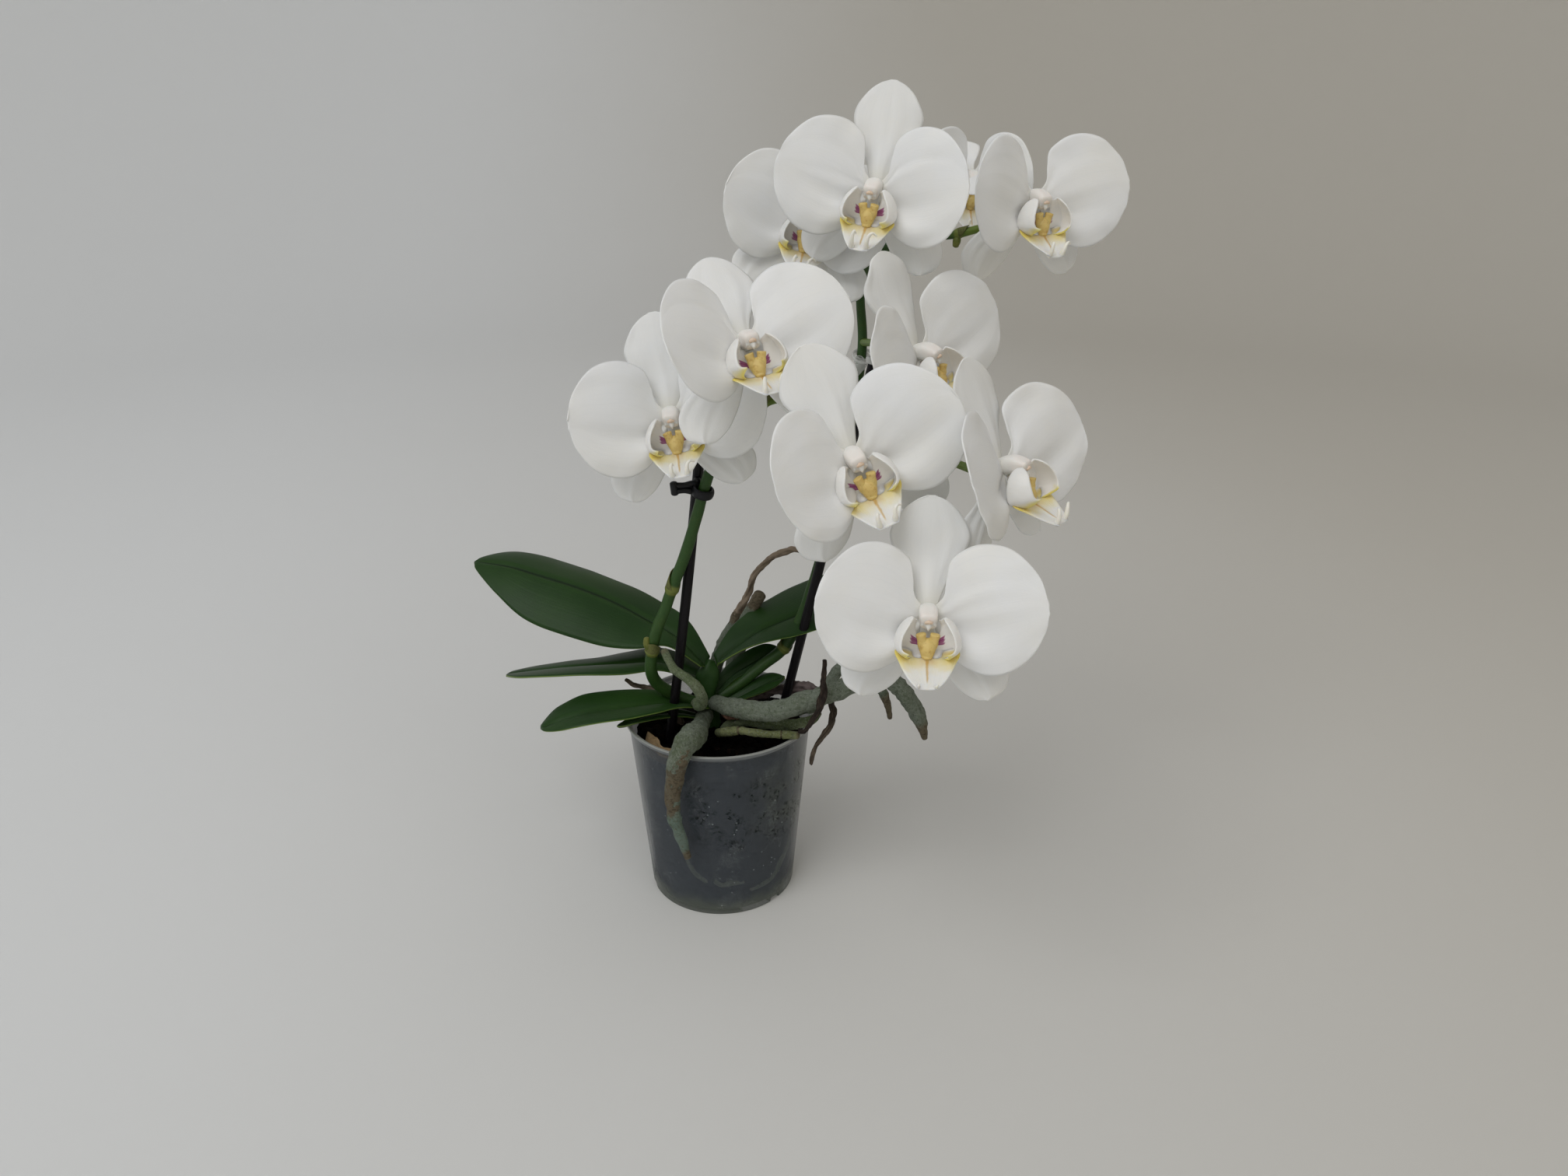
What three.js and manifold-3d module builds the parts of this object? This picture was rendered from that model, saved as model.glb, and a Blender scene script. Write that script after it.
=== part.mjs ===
// A moth orchid in its grow pot: two arching flower stems tied to stakes, ten white blooms,
// a fan of thick leaves and silvery aerial roots.
// Millimetres, +Z up. The plant's front faces -Y. The origin is the centre of the pot's foot.

import * as THREE from 'three';
import { mergeVertices } from 'three/addons/utils/BufferGeometryUtils.js';
import Module from 'manifold-3d';

const wasm = await Module();
wasm.setup();

// Clearance between neighbouring pieces.
const GAP = 0.3;

// Pot: a thin tapered cup with a rolled collar at the rim.
const POT_HEIGHT = 92.7;
const POT_RIM_RADIUS = 45;
const POT_SHOULDER_RADIUS = 43.3;
const POT_FOOT_RADIUS = 35.1;
const POT_WALL = 1.2;
const POT_FLOOR = 1.6;
const POT_COLLAR = 2.2;
const POT_SIDES = 36;
const BARK_SIDES = 20;
const DRAIN_COUNT = 3;
const DRAIN_TURN = 78.4;
const DRAIN_WIDTH = 6;
const DRAIN_HEIGHT = 2.4;

// Bark mix that fills the pot.
const BARK_TOP = 84;
const BARK_RELIEF = 1.6;

// Stakes and stems.
const STAKE_RADIUS = 2.2;
const STEM_SIDES = 6;
const RING_SWELL = 1.32;
const RING_REACH = 2.4;

// Blades.
const CROWN_FLATNESS = 0.78;
const LEAF_THICKNESS = 1.5;
const TEPAL_THICKNESS = 0.75;
const PETAL_LIFT = 1.5;

// Column and lip of a bloom, before the bloom's own size factor.
const COLUMN_RADIUS = 4.1;
const PEDICEL_RADIUS = 1.7;
const LIP_THICKNESS = 0.9;
const LIP_EDGE_LIFT = 1.6;

// Relief of a petal.
const PETAL_ARCH = 3;
const PETAL_TIP = 5.6;
const PETAL_EDGE = 3;

// The cup that the side lobes are patches of: its middle, its half sizes and how far round it they reach.
const LOBE_TURN = 152;
const LOBE_HALF_WIDTH = 12.4;
const LOBE_OVER = 12.2;
const LOBE_UNDER = 6.5;
const LOBE_MIDDLE = -9.5;
const LOBE_FORWARD = 10.6;
const LOBE_CUP = 12;
const LOBE_SHIFT = 2.6;
const LOBE_DEPTH = 5.4;

const vec = (x, y, z) => new THREE.Vector3(x, y, z);
const rad = THREE.MathUtils.degToRad;
const vectors = (rows) => rows.map((row) => vec(...row));
const smooth = (points) => new THREE.CatmullRomCurve3(points, false, 'catmullrom', 0.5);
const profile = (numbers) => smooth(numbers.map((value) => vec(value, 0, 0)));

const finish = (color, roughness) => new THREE.MeshStandardMaterial({ color, roughness, metalness: 0 });

const MATERIALS = {
  pot: finish(0xb9bcc2, 0.35),
  bark: finish(0x2c211c, 0.95),
  leaf: finish(0x1f4a22, 0.35),
  crown: finish(0x4c8a2e, 0.45),
  stem: finish(0x3d6b2c, 0.5),
  stake: finish(0x17101a, 0.4),
  blackClip: finish(0x14151a, 0.45),
  clearClip: finish(0xd8dad6, 0.2),
  petal: finish(0xf4f3f0, 0.55),
  lip: finish(0xe9d27a, 0.5),
  root: finish(0x8d9a88, 0.7),
  greenRoot: finish(0x93a262, 0.65),
  dryRoot: finish(0x6d5646, 0.9),
};

const plant = new THREE.Group();

function addMesh(name, geometry, material, parent = plant) {
  const mesh = new THREE.Mesh(geometry, material);
  mesh.name = name;
  parent.add(mesh);
  return mesh;
}

// Solids: a closed geometry becomes a manifold body and comes back.

function toSolid(geometry) {
  const bare = geometry.clone();
  bare.deleteAttribute('normal');
  bare.deleteAttribute('uv');
  const merged = mergeVertices(bare, 1e-4);
  const vertProperties = new Float32Array(merged.attributes.position.array);
  const triVerts = new Uint32Array(merged.index.array);
  return new wasm.Manifold(new wasm.Mesh({ numProp: 3, vertProperties, triVerts }));
}

function toGeometry(solid) {
  const mesh = solid.getMesh();
  const geometry = new THREE.BufferGeometry();
  geometry.setAttribute('position', new THREE.Float32BufferAttribute(mesh.vertProperties, 3));
  geometry.setIndex(Array.from(mesh.triVerts));
  return geometry;
}

function fuse(geometries) {
  const joined = geometries.map(toSolid).reduce((sum, solid) => sum.add(solid));
  return largest(joined);
}

// The biggest body of a solid that a cut has split.
function largest(solid) {
  const bodies = solid.decompose();
  return bodies.reduce((best, body) => (body.volume() > best.volume() ? body : best));
}

// Directions across a curve that turn with it as little as they can.
function framesAlong(curve, places) {
  const frames = [];
  let across = null;
  for (const u of places) {
    const at = curve.getPoint(u);
    const tangent = curve.getTangent(u);
    if (across === null) {
      const side = Math.abs(tangent.z) < 0.8 ? vec(0, 0, 1) : vec(1, 0, 0);
      across = side.cross(tangent).normalize();
    } else {
      across = across.clone().addScaledVector(tangent, -across.dot(tangent)).normalize();
    }
    frames.push({ at, tangent, across, up: tangent.clone().cross(across) });
  }
  return frames;
}

// A round stem or root of changing radius. grow makes it that much bigger all round,
// and rings are the points of its line where a scar makes it swell.
function tube(rows, radii, sides, grow = 0, rings = []) {
  const curve = smooth(vectors(rows));
  const spans = rows.length - 1;
  const radius = profile(radii);
  const swellAt = (index) => (rings.includes(index) ? RING_SWELL : 1);
  const stations = rows.map((row, index) => ({ u: index / spans, swell: swellAt(index) }));
  for (const ring of rings) {
    const reach = RING_REACH / curve.getLength();
    stations.push({ u: ring / spans - reach, swell: 1 }, { u: ring / spans + reach, swell: 1 });
  }
  stations.sort((a, b) => a.u - b.u);
  const frames = framesAlong(curve, stations.map((station) => station.u));
  const last = stations.length - 1;
  const geometry = new THREE.CylinderGeometry(1, 1, 1, sides, last);
  const position = geometry.attributes.position;
  for (let i = 0; i < position.count; i += 1) {
    const step = Math.round((position.getY(i) + 0.5) * last);
    const frame = frames[step];
    const r = radius.getPoint(stations[step].u).x * stations[step].swell + grow;
    const overrun = (step === last ? grow : 0) - (step === 0 ? grow : 0);
    const point = frame.at.clone();
    point.addScaledVector(frame.up, position.getX(i) * r);
    point.addScaledVector(frame.across, position.getZ(i) * r);
    point.addScaledVector(frame.tangent, overrun);
    position.setXYZ(i, point.x, point.y, point.z);
  }
  return geometry;
}

// A thin closed blade about the surface place(u, v), with both faces split alike.
function blade(nu, nv, place, thickness) {
  const width = nv + 1;
  const middle = [];
  for (let i = 0; i <= nu; i += 1) {
    for (let j = 0; j <= nv; j += 1) {
      middle.push(place(i / nu, j / nv));
    }
  }
  const at = (i, j) => middle[THREE.MathUtils.clamp(i, 0, nu) * width + THREE.MathUtils.clamp(j, 0, nv)];
  const positions = [];
  for (const side of [0.5, -0.5]) {
    for (let i = 0; i <= nu; i += 1) {
      for (let j = 0; j <= nv; j += 1) {
        const along = at(i + 1, j).clone().sub(at(i - 1, j));
        const across = at(i, j + 1).clone().sub(at(i, j - 1));
        const normal = along.cross(across).normalize();
        positions.push(...at(i, j).clone().addScaledVector(normal, side * thickness).toArray());
      }
    }
  }
  const back = (nu + 1) * width;
  const faces = [];
  const quad = (a, b, c, d) => faces.push(a, b, c, a, c, d);
  for (let i = 0; i < nu; i += 1) {
    for (let j = 0; j < nv; j += 1) {
      const a = i * width + j;
      const b = a + width;
      quad(a, b, b + 1, a + 1);
      faces.push(back + a, back + b + 1, back + b, back + a, back + a + 1, back + b + 1);
    }
  }
  const rim = [];
  for (let j = 0; j < nv; j += 1) {
    rim.push(j);
  }
  for (let i = 0; i < nu; i += 1) {
    rim.push(i * width + nv);
  }
  for (let j = nv; j > 0; j -= 1) {
    rim.push(nu * width + j);
  }
  for (let i = nu; i > 0; i -= 1) {
    rim.push(i * width);
  }
  rim.forEach((a, k) => {
    const b = rim[(k + 1) % rim.length];
    quad(a, b, back + b, back + a);
  });
  const geometry = new THREE.BufferGeometry();
  geometry.setAttribute('position', new THREE.Float32BufferAttribute(positions, 3));
  geometry.setIndex(faces);
  return geometry;
}

// Pot

function makePot() {
  const outline = [
    [0, 0],
    [POT_FOOT_RADIUS, 0],
    [POT_SHOULDER_RADIUS, POT_HEIGHT - POT_COLLAR],
    [POT_RIM_RADIUS, POT_HEIGHT - POT_COLLAR + 0.4],
    [POT_RIM_RADIUS, POT_HEIGHT],
    [POT_RIM_RADIUS - 1.4, POT_HEIGHT],
    [POT_SHOULDER_RADIUS - POT_WALL, POT_HEIGHT - POT_COLLAR - 1],
    [POT_FOOT_RADIUS - POT_WALL, POT_FLOOR],
    [0, POT_FLOOR],
  ];
  const cup = new THREE.LatheGeometry(outline.map(([r, z]) => new THREE.Vector2(r, z)), POT_SIDES);
  cup.rotateX(Math.PI / 2);
  let solid = toSolid(cup);
  for (let i = 0; i < DRAIN_COUNT; i += 1) {
    const notch = new THREE.BoxGeometry(9, DRAIN_WIDTH, 2 * DRAIN_HEIGHT);
    notch.translate(POT_FOOT_RADIUS, 0, 0);
    notch.rotateZ(rad(DRAIN_TURN + (360 * i) / DRAIN_COUNT));
    solid = solid.subtract(toSolid(notch));
  }
  return toGeometry(solid);
}

// Bark mix: a filled cup with an uneven top.

function innerRadius(z) {
  const share = (z - POT_FLOOR) / (POT_HEIGHT - POT_COLLAR - 1 - POT_FLOOR);
  return THREE.MathUtils.lerp(POT_FOOT_RADIUS, POT_SHOULDER_RADIUS, share) - POT_WALL;
}

function barkHeight(x, y) {
  const ripple = Math.sin(x * 0.31 + y * 0.17) + Math.sin(y * 0.37 - x * 0.11 + 1.3);
  return BARK_TOP + BARK_RELIEF * 0.6 * ripple;
}

function makeBark() {
  const foot = POT_FLOOR + GAP;
  const edge = BARK_TOP - 1;
  const inset = 2 * GAP;
  const outline = [
    [0, foot],
    [innerRadius(foot) - inset, foot],
    [innerRadius(edge) - inset, edge],
    [28, BARK_TOP],
    [14, BARK_TOP],
    [0, BARK_TOP],
  ];
  const fill = new THREE.LatheGeometry(outline.map(([r, z]) => new THREE.Vector2(r, z)), BARK_SIDES);
  fill.rotateX(Math.PI / 2);
  const position = fill.attributes.position;
  for (let i = 0; i < position.count; i += 1) {
    if (position.getZ(i) > BARK_TOP - 0.5) {
      position.setZ(i, barkHeight(position.getX(i), position.getY(i)));
    }
  }
  return fill;
}

// Crown: the short stem, widening upward into a fan of leaf bases.

const CROWN = {
  points: [[-6, 2, 62], [-6, 2, 80], [-5.5, 1, 92], [-5.7, 1, 100], [-5.8, 1.6, 110], [-5.4, 2.2, 117],
    [-5, 2.6, 120.5]],
  radii: [5.5, 6.5, 4.6, 3.7, 6, 7.8, 4.6],
};

function makeCrown(grow = 0) {
  const crown = tube(CROWN.points, CROWN.radii, 10, grow);
  return crown.translate(0, -2, 0).scale(1, CROWN_FLATNESS, 1).translate(0, 2, 0);
}

// Leaves: a midrib line with two halves, each with its own width and slope at stations from base to tip.
// A positive drop lets the edge hang below the midrib.

const LEAVES = {
  leaf_left_upper: {
    spine: [[-6, 2, 114.5], [-20, 8, 127.5], [-34, 12, 134.5], [-50, 16, 142], [-68, 19, 148.5],
      [-85, 22, 153], [-102, 26, 156.6], [-117.6, 28, 157.2]],
    near: [6, 10, 18, 24, 25.5, 24, 16.5, 2],
    far: [5.4, 12, 17, 22, 25, 25, 19, 2],
    nearDrop: [-25, 6, 26, 36, 40, 40, 36, 25],
    farDrop: [-38, -22, -8, 2, 5, 5, 3, 0],
  },
  leaf_right_upper: {
    spine: [[-1, 3.4, 115.4], [10, 9, 123], [20, 14, 128], [31, 20, 130.5], [45, 26, 133.5],
      [62, 31, 138], [80, 34, 141.5], [98, 36, 142.5]],
    near: [4.4, 8, 12, 14, 15, 15, 11, 2],
    far: [4.6, 11, 15, 19, 23, 24, 18, 2],
    nearDrop: [-25, -6, 4, 10, 12, 14, 14, 10],
    farDrop: [-35, -22, -12, -10, -10, -8, -4, 0],
  },
  leaf_left_lower: {
    spine: [[-8, 3, 108], [-27, 5.5, 115], [-45, 6, 114], [-60, 7, 112.3], [-75, 9, 110],
      [-90, 11.5, 107], [-104, 14, 104]],
    near: [5, 7.5, 13, 16, 17, 13, 2],
    far: [6, 11, 15, 17, 17, 13, 2],
    nearDrop: [-4, 6, -4, -12, -14, -14, -12],
    farDrop: [-20, -8, 4, 12, 14, 14, 12],
  },
  leaf_left_bottom: {
    spine: [[-6, -3, 96], [-20, -10, 101.5], [-32, -16, 103.5], [-44, -22, 105], [-57, -28, 106.3],
      [-68, -32, 105.2], [-78, -35.5, 102]],
    near: [4, 8, 12, 14, 14, 11, 2],
    far: [4, 8, 13, 16, 17, 14, 2],
    nearDrop: [-10, -10, -8, -6, -6, -4, 0],
    farDrop: [-20, -14, -8, -4, 0, 4, 4],
  },
  leaf_right_small: {
    spine: [[-3, 4, 99], [5, 10, 105.8], [14, 14.5, 110], [22, 19, 113], [28, 22, 115]],
    near: [3, 4, 5, 4.5, 1.2],
    far: [3, 5, 6.5, 5.5, 1.2],
    nearDrop: [20, 25, 30, 30, 20],
    farDrop: [-25, -25, -25, -25, -20],
  },
  leaf_right_stub: {
    spine: [[-1, 1, 94], [9, 3.5, 98], [18, 6.5, 101.5], [25, 9.5, 103.8], [31, 12, 104.2]],
    near: [3, 4, 5, 5, 1.2],
    far: [3, 4, 5, 5, 1.2],
    nearDrop: [0, 10, 20, 25, 20],
    farDrop: [-10, -10, -10, -5, 0],
  },
  leaf_left_stub: {
    spine: [[-10, -5, 92], [-20, -10, 96.5], [-33, -16.5, 98.6], [-46, -23, 96.4]],
    near: [2.5, 3.5, 4, 1],
    far: [2.5, 3.5, 4, 1],
    nearDrop: [0, 5, 10, 10],
    farDrop: [0, -5, -5, 0],
  },
};

function makeLeaf({ spine, near, far, nearDrop, farDrop }, grow = 0) {
  const line = smooth(vectors(spine));
  const nearWidth = profile(near);
  const farWidth = profile(far);
  const nearAngle = profile(nearDrop);
  const farAngle = profile(farDrop);
  const place = (u, v) => {
    const share = 2 * v - 1;
    const isNear = share > 0;
    const at = line.getPoint(u);
    const run = line.getTangent(u);
    const toLeft = run.x < 0 ? 1 : -1;
    const outward = vec(run.y, -run.x, 0).normalize().multiplyScalar(isNear ? -toLeft : toLeft);
    const width = ((isNear ? nearWidth : farWidth).getPoint(u).x + grow) * Math.abs(share);
    const drop = rad((isNear ? nearAngle : farAngle).getPoint(u).x);
    return at.addScaledVector(outward, width * Math.cos(drop)).add(vec(0, 0, -width * Math.sin(drop)));
  };
  return blade(spine.length + 1, 2, place, LEAF_THICKNESS + 2 * grow);
}

// Flower stems: each a main stem with its joints, and a stalk to the back of every bloom.

const STEM_LEFT = {
  name: 'left',
  points: [[-10, -4, 98], [-20, -7, 104], [-27.5, -11, 112], [-30, -15, 121], [-28.8, -17, 132],
    [-25.7, -20, 144.5], [-21.8, -21, 154], [-18.2, -22, 164.5], [-11.4, -24, 182.4], [-6, -25.5, 200],
    [-3, -26, 210.5], [1, -25.5, 222], [8, -24, 236], [22, -25, 248], [40, -34, 253], [58, -46, 249],
    [72, -58, 237], [80, -66, 222], [83, -74, 209]],
  radii: [3, 3, 2.9, 2.8, 2.7, 2.6, 2.5, 2.5, 2.5, 2.45, 2.4, 2.3, 2.2, 2.1, 2, 1.9, 1.8, 1.7, 1.5],
  joints: [4, 7, 13],
  buds: [[[-27, -17.4, 132], [-30.4, -19, 135.4], [-30.8, -19.4, 139]]],
};

const STEM_RIGHT = {
  name: 'right',
  points: [[-1, 4, 97], [8, 7.5, 101.5], [20, 12, 110], [30.5, 15, 118], [38.6, 17, 132.4],
    [44.5, 19, 150.1], [49.8, 21, 169.1], [58.4, 24, 206], [63.7, 26, 242], [65.7, 28, 262.5],
    [64.6, 33, 284.5], [69, 41, 297], [81, 45, 303], [95, 44, 306], [107.4, 41, 307.5], [121, 40, 311]],
  radii: [2.8, 2.8, 2.8, 2.8, 2.6, 2.5, 2.4, 2.3, 2.2, 2.1, 2, 2, 1.9, 1.9, 1.9, 1.6],
  joints: [3, 10, 14],
  buds: [[[107.4, 41, 307], [105.4, 40.4, 303.4], [103, 40, 299.6]]],
};

// Blooms: where each column stands, which way it faces, its size, and how far its tepals swing forward.

const BLOOMS = [
  { at: [-14.4, -32, 243.9], yaw: 2, pitch: -10, roll: -10, size: 0.918,
    left: 13, right: 15, dorsal: -3, side: -4, stem: 'left', from: 12 },
  { at: [15.7, -50, 276], yaw: 18, pitch: -24, roll: -8, size: 0.932,
    left: 25, right: 11, dorsal: -19, side: -5, stem: 'left', from: 13,
    via: [[17, -31, 274]] },
  { at: [67.7, 0, 328.9], yaw: -16, pitch: -1, roll: 6, size: 0.9,
    left: 12, right: 12, dorsal: -6, side: -2, stem: 'right', from: 12,
    via: [[87, 33, 313], [81, 13, 327]] },
  { at: [41.6, 30, 313.7], yaw: -2, pitch: -10, roll: 10, size: 0.89,
    left: 20, right: 25, dorsal: -20, side: 14, stem: 'right', from: 11 },
  { at: [117.4, 84, 328.6], yaw: 8, pitch: 10, roll: 4, size: 0.82,
    left: 25, right: 50, dorsal: -75, lean: 25, side: -5, stem: 'right', from: 12,
    via: [[78, 64, 311], [82, 90, 315], [101, 99, 321]] },
  { at: [135.5, 28, 322.6], yaw: 24, pitch: -3, roll: 0, size: 0.916,
    left: 16, right: 12, dorsal: -74, lean: 12, side: -4, stem: 'right', from: 15 },
  { at: [84.2, -20, 266.6], yaw: 45, pitch: -9, roll: -13, size: 0.937,
    left: 11, right: 10, dorsal: -4, side: -5, stem: 'right', from: 9 },
  { at: [55.3, -85, 242.6], yaw: 10, pitch: -7, roll: -22, size: 0.947,
    left: 33, right: 13, dorsal: -6, side: -2, stem: 'left', from: 15 },
  { at: [111.6, -74, 234.7], yaw: 50, pitch: -17, roll: -4, size: 0.938,
    left: 10, right: 12, dorsal: 1, side: -5, stem: 'left', from: 16 },
  { at: [82.9, -107, 190.2], yaw: -5, pitch: -13, roll: 0, size: 0.939,
    left: 13, right: 7, dorsal: -7, side: -4, stem: 'left', from: 18 },
];

// Outlines of one tepal of each kind, claw to tip, for the side to the viewer's right.
const outline = (rows) => smooth(rows.map(([x, y]) => vec(x, y, 0)));
const PETAL_TOP = outline([[1.8, 2.6], [6.2, 8], [6.9, 15], [8.8, 22.6], [18.6, 28.2], [30.6, 27.1],
  [41, 18.2], [45.5, 7.6]]);
const PETAL_FOOT = outline([[2.3, -2.8], [6.1, -10.4], [15, -18.9], [26.2, -21.6], [37.5, -16.3],
  [44.3, -5], [45.8, 4.4]]);
const DORSAL_EDGE = outline([[3.1, 2], [6.6, 11.4], [12.6, 22], [15.6, 31], [11.3, 39.4], [6.2, 44],
  [1.2, 46.1]]);
const SIDE_OUTER = outline([[2.9, -0.5], [13.3, -6.7], [24.6, -12.8], [32.5, -21.2], [31.8, -29.9],
  [26.6, -33.9]]);
const SIDE_INNER = outline([[-0.5, -2.9], [2.8, -13], [6.9, -21.9], [12.7, -29.7], [19, -34.1],
  [23.4, -34.9]]);

// A petal arches forward from its claw, its edges fall back and its tip comes forward.
function petalPoint(hand, sweep, u, v) {
  const flat = PETAL_TOP.getPoint(u).lerp(PETAL_FOOT.getPoint(u), v);
  const reach = Math.min(flat.x / 47, 1);
  const arch = PETAL_ARCH * Math.sin(Math.PI * reach) + PETAL_TIP * reach * reach;
  const depth = PETAL_LIFT + arch - PETAL_EDGE * (flat.y / 26) ** 2;
  const angle = rad(sweep);
  const x = flat.x * Math.cos(angle) - depth * Math.sin(angle);
  const z = flat.x * Math.sin(angle) + depth * Math.cos(angle);
  return vec(hand * x, flat.y, z);
}

// tilt lays the tepal forward or back, lean turns it towards the left.
function dorsalPoint(tilt, lean, u, v) {
  const edge = DORSAL_EDGE.getPoint(u);
  const x = edge.x * (1 - 2 * v);
  const depth = -1 - 2 * (x / 15) ** 2 - 3 * (edge.y / 46) ** 2;
  const rise = Math.max(edge.y - 3, 0);
  const angle = rad(tilt);
  const y = edge.y - rise + rise * Math.cos(angle) - depth * Math.sin(angle);
  const z = rise * Math.sin(angle) + depth * Math.cos(angle);
  return vec(x, y, z).applyAxisAngle(vec(0, 0, 1), rad(lean));
}

function sidePoint(hand, tilt, u, v) {
  const flat = SIDE_OUTER.getPoint(u).lerp(SIDE_INNER.getPoint(u), v);
  const reach = flat.length();
  const depth = -1 + reach * Math.sin(rad(tilt)) - 2 * (2 * v - 1) ** 2 * (reach / 40);
  return vec(hand * flat.x, flat.y, depth);
}

// The mirror image of a blade runs its rows the other way, so that its faces still point out.
function handed(hand, place) {
  return (u, v) => (hand > 0 ? place(u, 1 - v) : place(u, v));
}

function makeColumn(grow = 0) {
  const points = [[0, 0.5, -4], [0, 0.5, 0], [0, 1.2, 4.5], [0, 0, 11.6]];
  return tube(points, [2, 3.4, COLUMN_RADIUS, 2.4], 5, grow);
}

// grow makes every tepal that much thicker on each face, and as much wider.
function bloomParts(spec, grow = 0) {
  const thickness = TEPAL_THICKNESS + 2 * grow;
  const wide = (v) => 0.5 + (v - 0.5) * (1 + grow / 3);
  const parts = [makeColumn(grow)];
  parts.push(blade(4, 2, (u, v) => dorsalPoint(spec.dorsal, spec.lean || 0, u, wide(1 - v)), thickness));
  for (const hand of [-1, 1]) {
    const sweep = hand < 0 ? spec.left : spec.right;
    parts.push(blade(4, 2, handed(hand, (u, v) => sidePoint(hand, spec.side, u, wide(v))), thickness));
    parts.push(blade(5, 3, handed(hand, (u, v) => petalPoint(hand, sweep, u, wide(v))), thickness));
  }
  return parts;
}

// Lip: a trowel-shaped middle lobe with two tendrils, two cupped side lobes and a horned callus.

const LIP_LINE = smooth(vectors([[0, -2.5, 3], [0, -10.5, 4.5], [0, -14, 9], [0, -18, 14], [0, -21.6, 18.6],
  [0, -24.4, 22.6]]));
const LIP_HALF = profile([2.6, 3.8, 12, 10.2, 7.6, 5]);

const CALLUS = {
  points: [[-3.5, -8.2, 7.6], [0, -14.8, 8.8], [3.5, -8.2, 7.6]],
  radii: [1.4, 3.8, 1.4],
};

function lipPoint(u, v) {
  const at = LIP_LINE.getPoint(u);
  const across = 2 * v - 1;
  const half = LIP_HALF.getPoint(u).x;
  const lift = LIP_EDGE_LIFT * across * across * (half / 12);
  return vec(-half * across, at.y + lift, at.z + 0.4 * lift);
}

// The side lobes are the two ends of a cupped band that passes under the middle lobe.
function lobePoint(u, v) {
  const turn = LOBE_TURN * (2 * u - 1);
  const reach = Math.sqrt(1 - ((Math.abs(turn) - 70) / 90) ** 2);
  const ahead = LOBE_SHIFT + LOBE_DEPTH * reach * (1 - 2 * v);
  const waist = Math.sqrt(1 - (ahead / LOBE_CUP) ** 2);
  const drop = Math.cos(rad(turn));
  const tall = drop > 0 ? LOBE_UNDER : LOBE_OVER;
  const x = LOBE_HALF_WIDTH * Math.sin(rad(turn)) * waist;
  return vec(x, LOBE_MIDDLE - tall * drop * waist, LOBE_FORWARD + ahead);
}

function makeLip() {
  const parts = [blade(4, 2, lipPoint, LIP_THICKNESS), blade(6, 2, lobePoint, LIP_THICKNESS)];
  for (const hand of [-1, 1]) {
    const tendril = [[hand * 4, -23.4, 21.4], [hand * 5.2, -22.6, 25.4], [hand * 4.2, -17, 25]];
    parts.push(tube(tendril, [1, 0.7, 0.4], 3));
  }
  parts.push(tube(CALLUS.points, CALLUS.radii, 5));
  return fuse(parts);
}

function bloomMatrix({ at, yaw, pitch, roll, size }) {
  const matrix = new THREE.Matrix4().makeTranslation(...at);
  matrix.multiply(new THREE.Matrix4().makeRotationZ(rad(yaw)));
  matrix.multiply(new THREE.Matrix4().makeRotationX(rad(pitch)));
  matrix.multiply(new THREE.Matrix4().makeBasis(vec(1, 0, 0), vec(0, 0, 1), vec(0, -1, 0)));
  matrix.multiply(new THREE.Matrix4().makeRotationZ(rad(-roll)));
  return matrix.multiply(new THREE.Matrix4().makeScale(size, size, size));
}

const lip = makeLip();
BLOOMS.forEach((spec, index) => {
  const number = String(index + 1).padStart(2, '0');
  const group = new THREE.Group();
  group.applyMatrix4(bloomMatrix(spec));
  plant.add(group);
  addMesh(`bloom_${number}`, toGeometry(fuse(bloomParts(spec))), MATERIALS.petal, group);
  const cleared = bloomParts(spec, 1.6 * GAP).map(toSolid).reduce((body, part) => body.subtract(part), lip);
  addMesh(`lip_${number}`, toGeometry(largest(cleared)), MATERIALS.lip, group);
});

// A stalk leaves its joint on the stem and comes to the bloom's back, round what stands in its way.
function stalk(stem, spec, grow) {
  const matrix = bloomMatrix(spec);
  const start = vec(...stem.points[spec.from]);
  const behind = vec(0, -0.8, -8).applyMatrix4(matrix);
  const rows = [start.toArray()];
  const end = vec(0, 0.2, -4 - 3 * GAP).applyMatrix4(matrix);
  rows.push(...(spec.via || [start.clone().lerp(behind, 0.5).add(vec(0, 0, 2)).toArray()]));
  rows.push(behind.toArray(), end.toArray());
  return tube(rows, rows.map(() => PEDICEL_RADIUS), 5, grow);
}

function makeStem(stem, grow = 0) {
  const parts = [tube(stem.points, stem.radii, STEM_SIDES, grow, stem.joints)];
  parts.push(...stem.buds.map((bud) => tube(bud, [1.4, 2.4, 0.9], 5, grow)));
  const borne = BLOOMS.filter((spec) => spec.stem === stem.name);
  parts.push(...borne.map((spec) => stalk(stem, spec, grow)));
  return fuse(parts);
}

// Stakes

const STAKE_LEFT = [[-25.6, -11.5, 62], [-22.7, -12.5, 85], [-12.7, -17, 157.5], [-3.6, -21.4, 232]];
const STAKE_RIGHT = [[23.8, 8.4, 62], [33.1, 10, 100.1], [56, 15.5, 197], [82.6, 21.6, 306]];

function makeStake(points, grow = 0) {
  return tube(points, points.map(() => STAKE_RADIUS), 10, grow);
}

// Clips: collars round a stem and its stake, joined side by side, with a grip.

const CLIP_BLACK = [
  { points: [[-3.8, -26.1, 208.2], [-2.7, -26, 212.6]], radius: 4.4 },
  { points: [[-6.6, -19.9, 208.2], [-6, -20.3, 212.6]], radius: 4.1 },
  { points: [[-4, -24, 210.6], [-9.4, -25.5, 212.2], [-15.7, -26.6, 212.4]], radius: 2.2 },
];

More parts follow.
